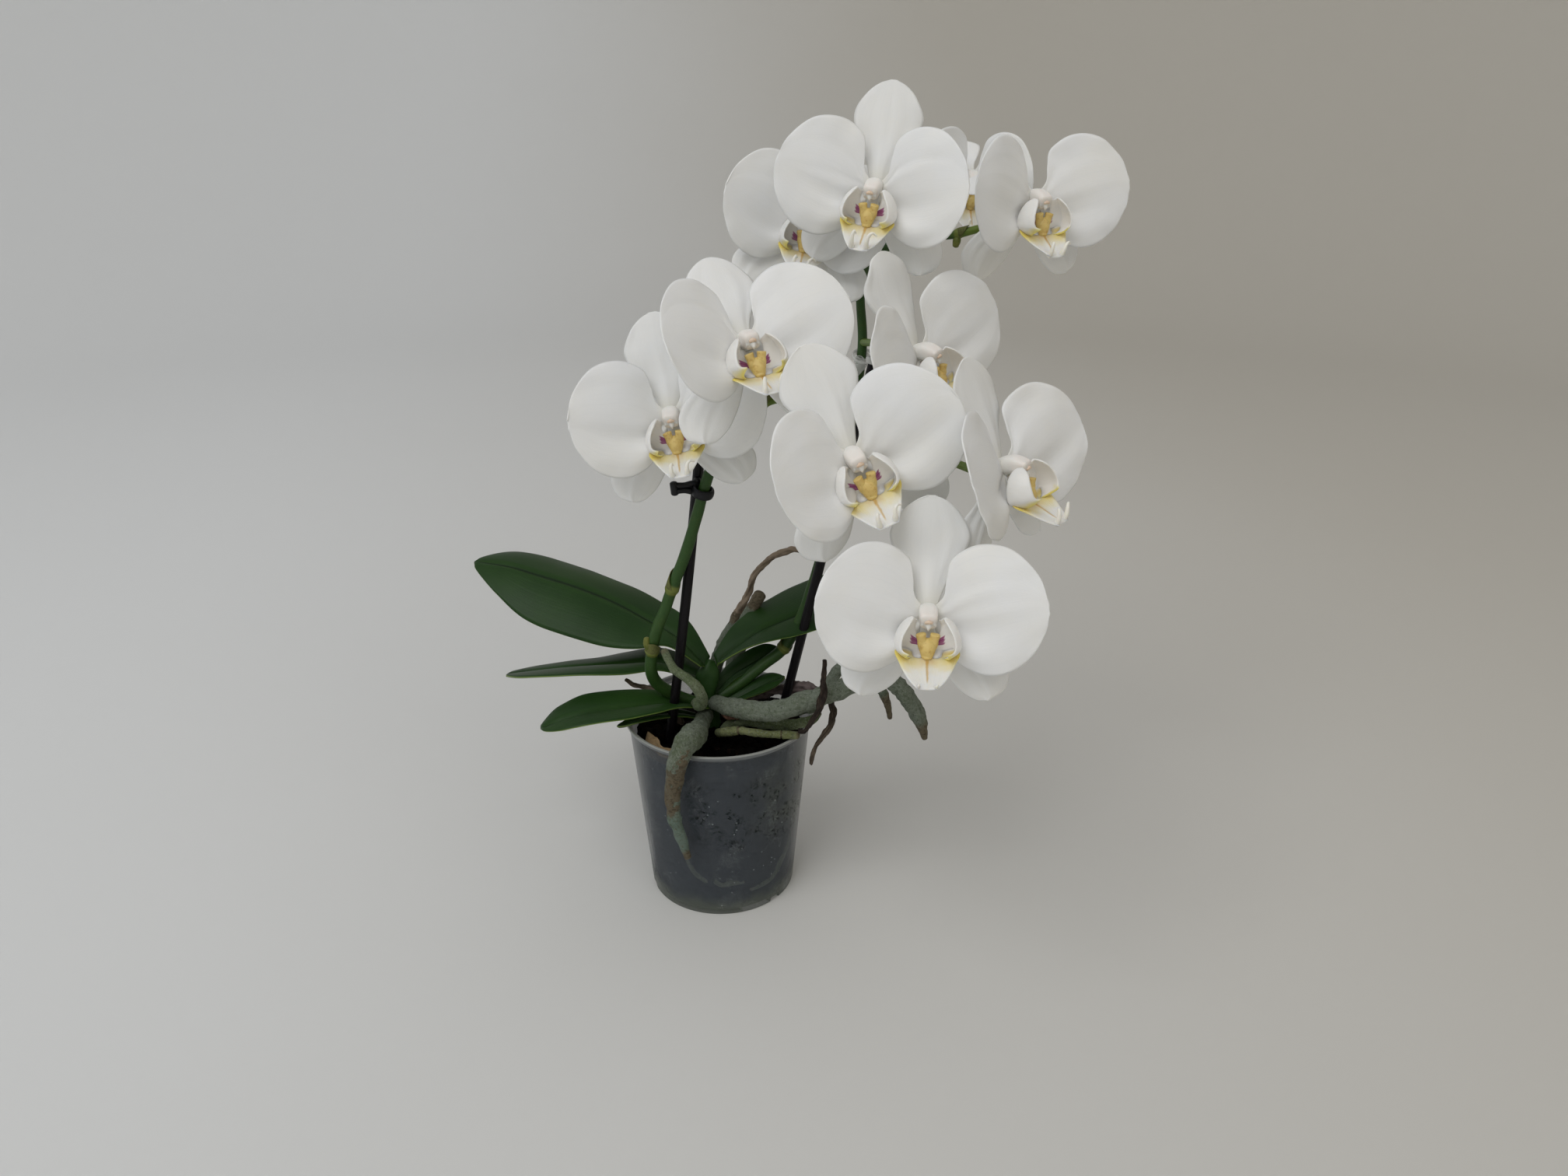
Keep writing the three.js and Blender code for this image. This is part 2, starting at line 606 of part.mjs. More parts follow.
const CLIP_CLEAR = [
  { points: [[65.2, 27.4, 254.5], [65.6, 27.8, 258.6]], radius: 3.7 },
  { points: [[70, 18.6, 254], [71, 18.9, 258]], radius: 3.9 },
  { points: [[64, 27.6, 257], [67.2, 24.8, 256.6], [71, 20, 256]], radius: 1.9 },
];

function makeClip(rows) {
  return fuse(rows.map(({ points, radius }) => tube(points, points.map(() => radius), 5)));
}

// Dry sheath: a papery curl that stands in the bark against the rim.

function sheathPoint(u, v) {
  const angle = rad(THREE.MathUtils.lerp(214, 240, u));
  const curl = 39.6 + 1.2 * v - 4 * Math.max(v - 0.6, 0) * (0.6 + 0.4 * Math.sin(5 * u));
  const height = THREE.MathUtils.lerp(BARK_TOP - 2.5, POT_HEIGHT + 1.4 + Math.sin(7 * u), v);
  return vec(curl * Math.cos(angle), curl * Math.sin(angle), height);
}

function makeSheath(grow = 0) {
  return blade(4, 3, (u, v) => sheathPoint(u, 1 - v * (1 + grow / 4)), 0.8 + 2 * grow);
}

// Roots

const ROOTS = {
  root_front: {
    points: [[-6.5, -4, 92], [-8, -14, 92.5], [-8.6, -26, 95], [-10, -37, 99.2], [-12.6, -44, 99.2],
      [-15.6, -48.8, 94], [-17.8, -48, 84], [-19.2, -46.6, 70], [-18.4, -45, 59], [-16, -43.6, 48.5],
      [-14, -42.4, 38.8]],
    radii: [3.6, 3.8, 4.6, 5.9, 5.3, 4.7, 4.2, 3.5, 3.2, 2.7, 1.8],
    look: 'root',
  },
  root_right_thick: {
    points: [[-2, -3, 98], [4, -12, 101], [13, -21, 103.8], [26.9, -28.5, 107.4], [41, -31, 114],
      [54, -30, 118.4], [66, -26.5, 122], [74, -23, 122.6], [82, -22, 117.5], [88.4, -22, 109],
      [92.8, -22, 100], [95.9, -22, 89.7]],
    radii: [3.6, 4.2, 4.6, 4.7, 4.6, 4.4, 4.2, 4.1, 4, 3.9, 3.4, 1.2],
    look: 'root',
  },
  root_right_thin: {
    points: [[17, 1, 80], [25, -4, 91], [36, -8.5, 96.6], [46.1, -11.6, 102], [51.8, -10.4, 110.5],
      [55.5, -9, 117.4], [63, -7, 121.5], [71.5, -5, 115.5], [76, -4, 106.5], [79.4, -4, 99.1],
      [81.2, -4, 90.3]],
    radii: [2.5, 2.6, 2.7, 2.9, 3, 2.9, 2.8, 2.6, 2.3, 2, 1],
    look: 'root',
  },
  root_right_low: {
    points: [[1, -7, 80], [4, -10, 89.5], [10.5, -14, 94.2], [19, -17.6, 95.6], [32.6, -21, 96],
      [43.4, -20, 98], [47, -18, 100.6]],
    radii: [2.2, 2.2, 2.5, 2.6, 2.5, 2.2, 1.4],
    look: 'greenRoot',
  },
  root_green_jointed: {
    points: [[0, -14, 88], [2.7, -20, 91.6], [9.4, -24.6, 95], [20.1, -27.6, 95.4], [29.7, -28.5, 95.4],
      [36.8, -28.8, 95]],
    radii: [1.8, 2.2, 1.9, 1.8, 1.8, 1.9],
    look: 'greenRoot',
  },
  root_curl: {
    points: [[-11, -9.5, 101.5], [-9, -15, 102.6], [-6.4, -20, 107.5], [-7.6, -23.6, 115],
      [-12.6, -24.8, 121.6], [-18.6, -24.4, 127], [-22.6, -23.4, 135]],
    radii: [2.2, 2.4, 2.6, 2.5, 2.2, 2, 1.7],
    look: 'greenRoot',
  },
  root_silver_up: {
    points: [[-1, 13, 92], [5, 19, 104], [9, 24, 116], [13.5, 28.5, 129], [19.1, 30.5, 139.5]],
    radii: [3.4, 3.6, 3.6, 3.4, 2.6],
    look: 'root',
  },
  root_silver_arch: {
    points: [[-7, 14, 92], [-3, 22, 104], [2, 30, 115], [7.4, 36, 126]],
    radii: [3.4, 3.6, 3.4, 2.6],
    look: 'root',
  },
  root_dry_arch: {
    points: [[7.6, 36.2, 126.6], [12.5, 37, 135], [16, 37.5, 146], [22.9, 37.5, 154.6],
      [31.2, 37, 159.4], [36.6, 36.5, 160.6], [44.8, 35.5, 158.6]],
    radii: [2.2, 1.6, 1.4, 1.3, 1.4, 1.3, 0.9],
    look: 'dryRoot',
  },
  root_dry_left: {
    points: [[-17, 0, 80], [-21, 1, 91], [-27, 3, 98.5], [-33, 5.6, 101], [-40, 8, 101.2],
      [-45.5, 10, 103.4]],
    radii: [1.5, 1.5, 1.5, 1.3, 1.1, 0.8],
    look: 'dryRoot',
  },
  root_dry_right: {
    points: [[37.9, -29.2, 97.6], [40.6, -34, 101], [45, -38.5, 111], [47.5, -39.4, 119.7],
      [48, -38.5, 127], [48.5, -35, 136]],
    radii: [1, 1, 1.1, 1.6, 1.2, 0.8],
    look: 'dryRoot',
  },
  root_dry_hanging: {
    points: [[51.2, -11.6, 109.2], [52.4, -19, 107.4], [53.2, -23, 104.6], [52.6, -24.5, 99.6],
      [48.4, -25.5, 92], [45, -26, 87], [43.4, -26, 78.4]],
    radii: [1, 1.2, 1.4, 1.4, 1.2, 0.9, 0.8],
    look: 'dryRoot',
  },
  root_dead_stub: {
    points: [[0, -9.6, 99], [5, -15, 97.5], [10, -18.4, 98.4]],
    radii: [1.4, 1.5, 0.9],
    look: 'dryRoot',
  },
  stem_old_stump: {
    points: [[10, 9, 90], [17, 12, 93.6], [25, 14, 95.4], [33.4, 13.5, 97.2], [41, 11, 99.2],
      [46, 7, 99.4]],
    radii: [2.6, 2.8, 2.5, 2.8, 2.6, 1.8],
    look: 'dryRoot',
  },
};

function makeRoot({ points, radii }, grow = 0) {
  return tube(points, radii, radii[0] < 2 ? 5 : 6, grow);
}

// Pieces that share space are made in this order, each cut clear of those before it.

const settled = [];

function settle(name, solid, grown, material) {
  let body = solid;
  const box = body.boundingBox();
  for (const other of settled) {
    const apart = [0, 1, 2].some((k) => other.box.min[k] > box.max[k] || other.box.max[k] < box.min[k]);
    if (!apart) {
      body = body.subtract(other.solid);
    }
  }
  body = largest(body);
  settled.push({ solid: grown, box: grown.boundingBox() });
  addMesh(name, toGeometry(body), material);
}

settle('crown', toSolid(makeCrown()), toSolid(makeCrown(GAP)), MATERIALS.crown);
for (const [name, points] of [['stake_left', STAKE_LEFT], ['stake_right', STAKE_RIGHT]]) {
  settle(name, toSolid(makeStake(points)), toSolid(makeStake(points, GAP)), MATERIALS.stake);
}

for (const stem of [STEM_LEFT, STEM_RIGHT]) {
  settle(`stem_${stem.name}`, makeStem(stem), makeStem(stem, GAP), MATERIALS.stem);
}

settle('clip_black', makeClip(CLIP_BLACK), makeClip(CLIP_BLACK), MATERIALS.blackClip);
settle('clip_clear', makeClip(CLIP_CLEAR), makeClip(CLIP_CLEAR), MATERIALS.clearClip);

for (const [name, spec] of Object.entries(LEAVES)) {
  settle(name, toSolid(makeLeaf(spec)), toSolid(makeLeaf(spec, 1.5 * GAP)), MATERIALS.leaf);
}

for (const [name, spec] of Object.entries(ROOTS)) {
  settle(name, toSolid(makeRoot(spec)), toSolid(makeRoot(spec, GAP)), MATERIALS[spec.look]);
}

settle('sheath_dry', toSolid(makeSheath()), toSolid(makeSheath(GAP)), MATERIALS.dryRoot);

addMesh('pot', makePot(), MATERIALS.pot);
settle('bark', toSolid(makeBark()), toSolid(makeBark()), MATERIALS.bark);

export default plant;
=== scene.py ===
"""Looks of a potted moth orchid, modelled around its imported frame.

The scene is in metres, +Z up, in the frame's own axes: the plant's front faces -Y and the origin
is the centre of the pot's foot. Lines and outlines are written in millimetres, as on a drawing of
the plant, and every mesh is placed in metres.
"""

import logging
import math
from dataclasses import dataclass, field
from enum import Enum
from typing import Callable, ClassVar, Sequence

import bpy
import numpy as np
from mathutils import Matrix, Vector


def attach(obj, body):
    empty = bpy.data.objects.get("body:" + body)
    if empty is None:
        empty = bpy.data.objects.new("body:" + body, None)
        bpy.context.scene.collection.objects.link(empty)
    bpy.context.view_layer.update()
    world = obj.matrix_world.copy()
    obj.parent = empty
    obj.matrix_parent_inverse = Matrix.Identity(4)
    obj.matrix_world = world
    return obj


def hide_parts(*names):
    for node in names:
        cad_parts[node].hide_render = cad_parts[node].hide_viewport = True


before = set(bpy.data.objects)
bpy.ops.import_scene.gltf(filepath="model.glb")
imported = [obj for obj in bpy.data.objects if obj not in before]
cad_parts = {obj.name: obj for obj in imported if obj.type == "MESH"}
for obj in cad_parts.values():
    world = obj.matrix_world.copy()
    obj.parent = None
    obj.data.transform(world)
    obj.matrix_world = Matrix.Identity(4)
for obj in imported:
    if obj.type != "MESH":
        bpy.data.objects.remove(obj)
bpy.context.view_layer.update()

log = logging.getLogger("orchid")

MM = 0.001

Array = np.ndarray
Material = bpy.types.Material
MeshObject = bpy.types.Object
Numbers = Sequence[float]
Rows = Sequence[Sequence[float]]
Place = Callable[[Array, Array], Array]
Relief = Callable[[Array, Array, Array], Array]


# Lines and relief


def along(points: Rows | Numbers, share: Array) -> Array:
    """A smooth line through points.

    Args:
        points: The points, or plain numbers, that it passes.
        share: Places from 0 at the first point to 1 at the last, even from point to point.

    Returns:
        A point, or a number, for each place.
    """
    rows = np.asarray(points, float)
    plain = rows.ndim == 1
    rows = rows.reshape(len(rows), -1)
    held = np.vstack([2 * rows[0] - rows[1], rows, 2 * rows[-1] - rows[-2]])
    step = np.clip(share, 0, 1) * (len(rows) - 1)
    first = np.minimum(step.astype(int), len(rows) - 2)
    t = (step - first)[:, None]
    a, b, c, d = (held[first + k] for k in range(4))
    go = (c - a) / 2
    come = (d - b) / 2
    line = b + go * t + (3 * (c - b) - 2 * go - come) * t**2 + (2 * (b - c) + go + come) * t**3
    return line[:, 0] if plain else line


def unit(rows: Array) -> Array:
    """The rows, each scaled to length 1."""
    return rows / np.maximum(np.linalg.norm(rows, axis=-1, keepdims=True), 1e-12)


def ripple(points: Array, size: float, seed: int, waves: int = 12) -> Array:
    """Smooth random relief, mostly between -1 and 1.

    Args:
        points: Where it is wanted, one row each.
        size: Length of its waves, in the points' unit.
        seed: Picks one relief of that size.
        waves: How many plane waves it is the sum of.

    Returns:
        One height for each point.
    """
    draw = np.random.default_rng(seed)
    way = unit(draw.normal(size=(waves, points.shape[1])))
    length = size * draw.uniform(0.6, 1.8, waves)
    start = draw.uniform(0, 2 * math.pi, waves)
    return np.sin(2 * math.pi * (points @ way.T) / length + start).sum(1) / math.sqrt(2 * waves)


def hump(value: Array, middle: float, reach: float) -> Array:
    """A bell of height 1 round a middle."""
    return np.exp(-(((value - middle) / reach) ** 2))


# Forming of meshes


def clear_selection() -> None:
    """Leaves nothing selected."""
    for other in bpy.context.selected_objects:
        other.select_set(False)


def pick(*objects: MeshObject) -> None:
    """Selects these objects alone, the first of them active."""
    clear_selection()
    for obj in objects:
        obj.select_set(True)
    bpy.context.view_layer.objects.active = objects[0]


def named(obj: MeshObject, name: str) -> MeshObject:
    """Gives an object and its mesh one name."""
    obj.name = name
    obj.data.name = name
    return obj


def apply_modifiers(obj: MeshObject) -> None:
    """Applies every modifier of an object, in order."""
    pick(obj)
    for modifier in list(obj.modifiers):
        bpy.ops.object.modifier_apply(modifier=modifier.name)


def join(name: str, parts: Sequence[MeshObject]) -> MeshObject:
    """Makes several objects one, with the materials of all.

    Args:
        name: The name of the whole.
        parts: The mesh objects, of which the first is kept.

    Returns:
        The one mesh object.
    """
    pick(*parts)
    if len(parts) > 1:
        bpy.ops.object.join()
    return named(parts[0], name)


def smooth(obj: MeshObject, angle: float | None = None) -> MeshObject:
    """Shades an object smooth.

    Args:
        obj: The mesh object.
        angle: The largest angle, in degrees, that is smoothed over, if not every one.

    Returns:
        The same object.
    """
    pick(obj)
    if angle is None:
        bpy.ops.object.shade_smooth()
    else:
        bpy.ops.object.shade_smooth_by_angle(angle=math.radians(angle))
    return obj


def read_points(obj: MeshObject) -> Array:
    """The points of an object's mesh, one row each."""
    flat = np.empty(len(obj.data.vertices) * 3)
    obj.data.vertices.foreach_get("co", flat)
    return flat.reshape(-1, 3)


def write_points(obj: MeshObject, rows: Array) -> None:
    """Moves the points of an object's mesh."""
    obj.data.vertices.foreach_set("co", rows.ravel())


def formed_grid(
    name: str, rows: int, columns: int, place: Place, matrix: Matrix | None = None
) -> MeshObject:
    """A grid bent to a surface.

    Args:
        name: The object's name.
        rows: Faces along u.
        columns: Faces along v.
        place: Gives the points, in millimetres, for arrays of u and v from 0 to 1.
        matrix: Places those points, still in millimetres.

    Returns:
        The mesh object, in metres, whose UV map holds u and v.
    """
    clear_selection()
    bpy.ops.mesh.primitive_grid_add(x_subdivisions=rows, y_subdivisions=columns, size=1)
    obj = named(bpy.context.object, name)
    flat = read_points(obj)
    points = place(flat[:, 0] + 0.5, flat[:, 1] + 0.5)
    if matrix is not None:
        turn = np.array(matrix)
        points = points @ turn[:3, :3].T + turn[:3, 3]
    write_points(obj, points * MM)
    obj.data.update()
    return obj


def close_seams(obj: MeshObject) -> None:
    """Merges the meeting edges of a rolled grid and turns its faces outwards."""
    pick(obj)
    bpy.ops.object.mode_set(mode="EDIT")
    bpy.ops.mesh.select_all(action="SELECT")
    bpy.ops.mesh.remove_doubles(threshold=1e-6)
    bpy.ops.mesh.dissolve_degenerate(threshold=1e-7)
    bpy.ops.mesh.normals_make_consistent(inside=False)
    bpy.ops.object.mode_set(mode="OBJECT")


@dataclass(frozen=True)
class Skin:
    """The materials of a thin sheet."""

    front: Material
    back: Material | None = None
    edge: Material | None = None


def sheet(
    name: str,
    rows: int,
    columns: int,
    place: Place,
    thickness: float,
    skin: Skin,
    matrix: Matrix | None = None,
    facing: Vector | None = None,
    thin: float = 0.4,
) -> MeshObject:
    """A blade with two faces and a margin that thins out.

    Args:
        name: The object's name.
        rows: Faces along u.
        columns: Faces along v.
        place: The middle surface, in millimetres, for arrays of u and v.
        thickness: Millimetres at the middle.
        skin: Its materials.
        matrix: Places the points, still in millimetres.
        facing: The side, as a direction in the frame, that shows the front.
        thin: Share of the thickness that is left at the margin.

    Returns:
        The closed mesh object.
    """
    obj = formed_grid(name, rows, columns, place, matrix)
    mesh = obj.data
    if facing is not None:
        normal = sum((face.normal * face.area for face in mesh.polygons), Vector())
        if normal.dot(facing) < 0:
            pick(obj)
            bpy.ops.object.mode_set(mode="EDIT")
            bpy.ops.mesh.select_all(action="SELECT")
            bpy.ops.mesh.flip_normals()
            bpy.ops.object.mode_set(mode="OBJECT")
    body = obj.vertex_groups.new(name="body")
    layer = mesh.uv_layers.active.data
    border = set()
    for face in mesh.polygons:
        for loop in face.loop_indices:
            u, v = layer[loop].uv
            if min(u, v, 1 - u, 1 - v) < 1e-4:
                border.add(mesh.loops[loop].vertex_index)
    body.add([i for i in range(len(mesh.vertices)) if i not in border], 1.0, "REPLACE")
    for material in (skin.front, skin.back or skin.front, skin.edge or skin.front):
        mesh.materials.append(material)
    solid = obj.modifiers.new("Thickness", "SOLIDIFY")
    solid.thickness = thickness * MM
    solid.offset = 0
    solid.vertex_group = "body"
    solid.thickness_vertex_group = thin
    solid.material_offset = 1
    solid.material_offset_rim = 2
    apply_modifiers(obj)
    obj.vertex_groups.clear()
    return smooth(obj)


def line_length(points: Rows, steps: int) -> float:
    """The length of the line through points, measured in so many steps."""
    rows = along(points, np.linspace(0, 1, steps))
    return float(np.linalg.norm(np.diff(rows, axis=0), axis=1).sum())


def line_frames(points: Rows, share: Array) -> tuple[Array, ...]:
    """Where a line is and three directions that follow it, turning as little as they can.

    Args:
        points: The points that it passes.
        share: Places on it, from 0 to 1.

    Returns:
        The points, the line's own direction, and two directions across it.
    """
    nudge = 1e-3
    at = along(points, share)
    run = unit(along(points, share + nudge) - along(points, share - nudge))
    across = np.empty_like(at)
    side = np.array([0.0, 0, 1]) if abs(run[0, 2]) < 0.8 else np.array([1.0, 0, 0])
    held = np.cross(side, run[0])
    for k, way in enumerate(run):
        held = unit(held - way * (held @ way))
        across[k] = held
    return at, run, across, np.cross(run, across)


def tube(
    name: str,
    points: Rows,
    radii: Numbers,
    material: Material,
    sides: int = 16,
    steps: int = 40,
    relief: Relief | None = None,
    ends: tuple[float, float] = (0.6, 0.6),
    matrix: Matrix | None = None,
) -> MeshObject:
    """A closed round stalk with domed ends.

    Args:
        name: The object's name.
        points: Its centre line, in millimetres.
        radii: Its radius along the line, in millimetres, at even steps.
        material: Its material.
        sides: Faces round it.
        steps: Faces along it.
        relief: Gives a swelling, in millimetres, for the share of the line, the angle and the point.
        ends: How far each end bulges, as a share of its radius.
        matrix: Places the points, still in millimetres.

    Returns:
        The closed mesh object, whose UV map holds the share of the line and of the turn.
    """
    caps = 4
    dome = np.linspace(0, math.pi / 2, caps + 1)
    share = np.concatenate([np.zeros(caps), np.linspace(0, 1, steps + 1), np.ones(caps)])
    body = np.ones(steps + 1)
    narrow = np.concatenate([np.sin(dome[:-1]), body, np.cos(dome[1:])])
    at, run, across, up = line_frames(points, share)
    radius = along(radii, share)
    shift = np.concatenate([-np.cos(dome[:-1]) * ends[0], 0 * body, np.sin(dome[1:]) * ends[1]])
    at = at + run * (shift * radius)[:, None]

    def place(u: Array, v: Array) -> Array:
        """Points round the line, drawn in at its ends."""
        k = np.rint(u * (len(share) - 1)).astype(int)
        angle = 2 * math.pi * (v % 1)
        out = np.cos(angle)[:, None] * up[k] + np.sin(angle)[:, None] * across[k]
        size = radius[k]
        if relief is not None:
            size = size + relief(share[k], angle, at[k] + out * size[:, None])
        return at[k] + out * (size * narrow[k])[:, None]

    obj = formed_grid(name, len(share) - 1, sides, place, matrix)
    layer = obj.data.uv_layers.active.data
    for loop in layer:
        loop.uv[0] = share[int(round(loop.uv[0] * (len(share) - 1)))]
    obj.data.materials.append(material)
    close_seams(obj)
    return smooth(obj)


def turned(
    name: str, outline: Rows, sides: int, material: Material
) -> MeshObject:
    """A body turned about the Z axis.

    Args:
        name: The object's name.
        outline: Radius and height, in millimetres, from the axis round to the axis.
        sides: Faces round it.
        material: Its material.

    Returns:
        The closed mesh object.
    """
    rows = np.asarray(outline, float)

    def place(u: Array, v: Array) -> Array:
        """Points of the outline, carried round the axis."""
        k = np.rint(u * (len(rows) - 1)).astype(int)
        angle = 2 * math.pi * (v % 1)
        return np.stack([rows[k, 0] * np.cos(angle), rows[k, 0] * np.sin(angle), rows[k, 1]], 1)

    obj = formed_grid(name, len(rows) - 1, sides, place)
    obj.data.materials.append(material)
    close_seams(obj)
    return obj


def rounded(outline: Rows, reach: float, steps: int = 5) -> list[list[float]]:
    """An outline with its inner corners rounded.

    Args:
        outline: Its corners.
        reach: How far from a corner the round starts, at most.
        steps: Points on each round, less one.

    Returns:
        The outline's points.
    """
    rows = np.asarray(outline, float)
    made = [rows[0].tolist()]
    for before, corner, after in zip(rows, rows[1:], rows[2:]):
        to_before = before - corner
        to_after = after - corner
        cut = min(reach, np.linalg.norm(to_before) * 0.45, np.linalg.norm(to_after) * 0.45)
        start = corner + unit(to_before) * cut
        end = corner + unit(to_after) * cut
        for t in np.linspace(0, 1, steps + 1):
            bend = (1 - t) ** 2 * start + 2 * t * (1 - t) * corner + t**2 * end
            made.append(bend.tolist())
    made.append(rows[-1].tolist())
    return made


def hand_over(piece: MeshObject, slot: str, *nodes: str) -> None:
    """Lets a finished piece ride on the plant's one body and stand for its nodes, and reports it.

    Args:
        piece: The finished mesh object.
        slot: Not used.
        *nodes: The frame's nodes that it stands for.
    """
    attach(piece, "root")
    if nodes:
        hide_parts(*nodes)
    log.info("%s done", piece.name)


# Shading


class Value:
    """A socket of a material's tree, with Python's arithmetic."""

    def __init__(self, shader: "Shader", socket: bpy.types.NodeSocket) -> None:
        """Wraps a socket.

        Args:
            shader: The tree's owner.
            socket: An output socket.
        """
        self.shader = shader
        self.socket = socket

    def _with(self, operation: str, *terms: "Value | float", clamp: bool = False) -> "Value":
        """The result of a Math node on these terms."""
        settings = {"operation": operation, "use_clamp": clamp}
        return self.shader.node("ShaderNodeMath", settings, dict(enumerate(terms)))

    def __add__(self, other: "Value | float") -> "Value":
        """Sum."""
        return self._with("ADD", self, other)

    __radd__ = __add__

    def __sub__(self, other: "Value | float") -> "Value":
        """Difference."""
        return self._with("SUBTRACT", self, other)

    def __rsub__(self, other: float) -> "Value":
        """Difference from a number."""
        return self._with("SUBTRACT", other, self)

    def __mul__(self, other: "Value | float") -> "Value":
        """Product."""
        return self._with("MULTIPLY", self, other)

    __rmul__ = __mul__

    def __pow__(self, other: float) -> "Value":
        """Power."""
        return self._with("POWER", self, other)

    def __abs__(self) -> "Value":
        """Size without sign."""
        return self._with("ABSOLUTE", self)

    def clamped(self) -> "Value":
        """The value held between 0 and 1."""
        return self._with("ADD", self, 0.0, clamp=True)

    def wave(self) -> "Value":
        """Sine of the value in radians."""
        return self._with("SINE", self)

    def rise(self, low: float, high: float) -> "Value":
        """0 below low, 1 above high, smooth between; falls if low is the larger."""
        settings = {"interpolation_type": "SMOOTHSTEP"}
        inputs = {"Value": self, "From Min": low, "From Max": high}
        return self.shader.node("ShaderNodeMapRange", settings, inputs)

    def band(self, low: float, high: float, soft: float) -> "Value":
        """1 from low to high, falling to 0 over a soft margin outside."""
        return self.rise(low - soft, low) * self.rise(high + soft, high)


Colour = tuple[float, float, float]


class Shader:
    """One procedural material."""

    def __init__(self, name: str) -> None:
        """Makes the material.

        Args:
            name: Its name.
        """
        self.material = bpy.data.materials.new(name)
        self.material.use_nodes = True
        self.tree = self.material.node_tree
        self.surface = self.tree.nodes["Principled BSDF"]

    def node(
        self, kind: str, settings: dict | None = None, inputs: dict | None = None, out: int | str = 0
    ) -> Value:
        """Adds a node.

        Args:
            kind: Its type.
            settings: Its own settings, which are set first.
            inputs: Values or links of its sockets, by name or index.
            out: The output that is wanted.

        Returns:
            That output.
        """
        made = self.tree.nodes.new(kind)
        for key, value in (settings or {}).items():
            setattr(made, key, value)
        for key, value in (inputs or {}).items():
            self.feed(made.inputs[key], value)
        return Value(self, made.outputs[out])

    def feed(self, socket: bpy.types.NodeSocket, value: "Value | float | tuple") -> None:
        """Links or sets an input socket."""
        if isinstance(value, Value):
            self.tree.links.new(value.socket, socket)
        elif isinstance(value, tuple) and socket.type == "RGBA":
            socket.default_value = (*value, 1)
        else:
            socket.default_value = value

    def place(self) -> Value:
        """Object coordinates, in metres."""
        return self.node("ShaderNodeTexCoord", out="Object")

    def uv(self) -> tuple[Value, Value]:
        """The two parts of the piece's own UV map."""
        split = self.node("ShaderNodeSeparateXYZ", inputs={0: self.node("ShaderNodeUVMap")})
        return split, Value(self, split.socket.node.outputs[1])

    def parts(self, vector: Value) -> tuple[Value, Value, Value]:
        """The X, Y and Z of a vector."""
        split = self.node("ShaderNodeSeparateXYZ", inputs={0: vector})
        outputs = split.socket.node.outputs
        return split, Value(self, outputs[1]), Value(self, outputs[2])

    def vector(self, x: Value | float, y: Value | float, z: Value | float = 0.0) -> Value:
        """A vector of three values."""
        return self.node("ShaderNodeCombineXYZ", inputs={0: x, 1: y, 2: z})

    def noise(
        self, vector: Value, scale: float, detail: float = 3.0, rough: float = 0.5, bend: float = 0.0
    ) -> Value:
        """Fractal noise between 0 and 1."""
        inputs = {"Vector": vector, "Scale": scale, "Detail": detail, "Roughness": rough}
        return self.node("ShaderNodeTexNoise", inputs={**inputs, "Distortion": bend})

    def cells(self, vector: Value, scale: float) -> Value:
        """Distance in a pattern of cells."""
        return self.node("ShaderNodeTexVoronoi", inputs={"Vector": vector, "Scale": scale})

    def mix(self, share: Value | float, low: Value | Colour, high: Value | Colour) -> Value:
        """A colour between two."""
        settings = {"data_type": "RGBA"}
        inputs = {0: share, 6: low, 7: high}
        return self.node("ShaderNodeMix", settings, inputs, out=2)

    def bump(self, height: Value, reach: float) -> Value:
        """A normal roughened by a height field.

        Args:
            height: Heights from 0 to 1.
            reach: What a height of 1 is, in millimetres.

        Returns:
            The normal.
        """
        inputs = {"Height": height, "Distance": reach * MM, "Strength": 1.0}
        return self.node("ShaderNodeBump", inputs=inputs)

    def dress(self, **sockets: "Value | float | tuple") -> Material:
        """Feeds the surface's sockets, named with underscores, and returns the material."""
        for key, value in sockets.items():
            self.feed(self.surface.inputs[key.replace("_", " ")], value)
        return self.material


@dataclass(frozen=True)
class Finish:
    """A finish of the plant, its pot or the studio, which becomes a material of its name."""

    name: str

    def look(self, s: Shader, place: Value) -> dict:
        """What the surface's sockets get.

        Args:
            s: The new material.
            place: Object coordinates.

        Returns:
            Values and links by the sockets' names, with underscores.
        """
        raise NotImplementedError

    def make(self) -> Material:
        """Builds the material."""
        s = Shader(self.name)
        return s.dress(**self.look(s, s.place()))


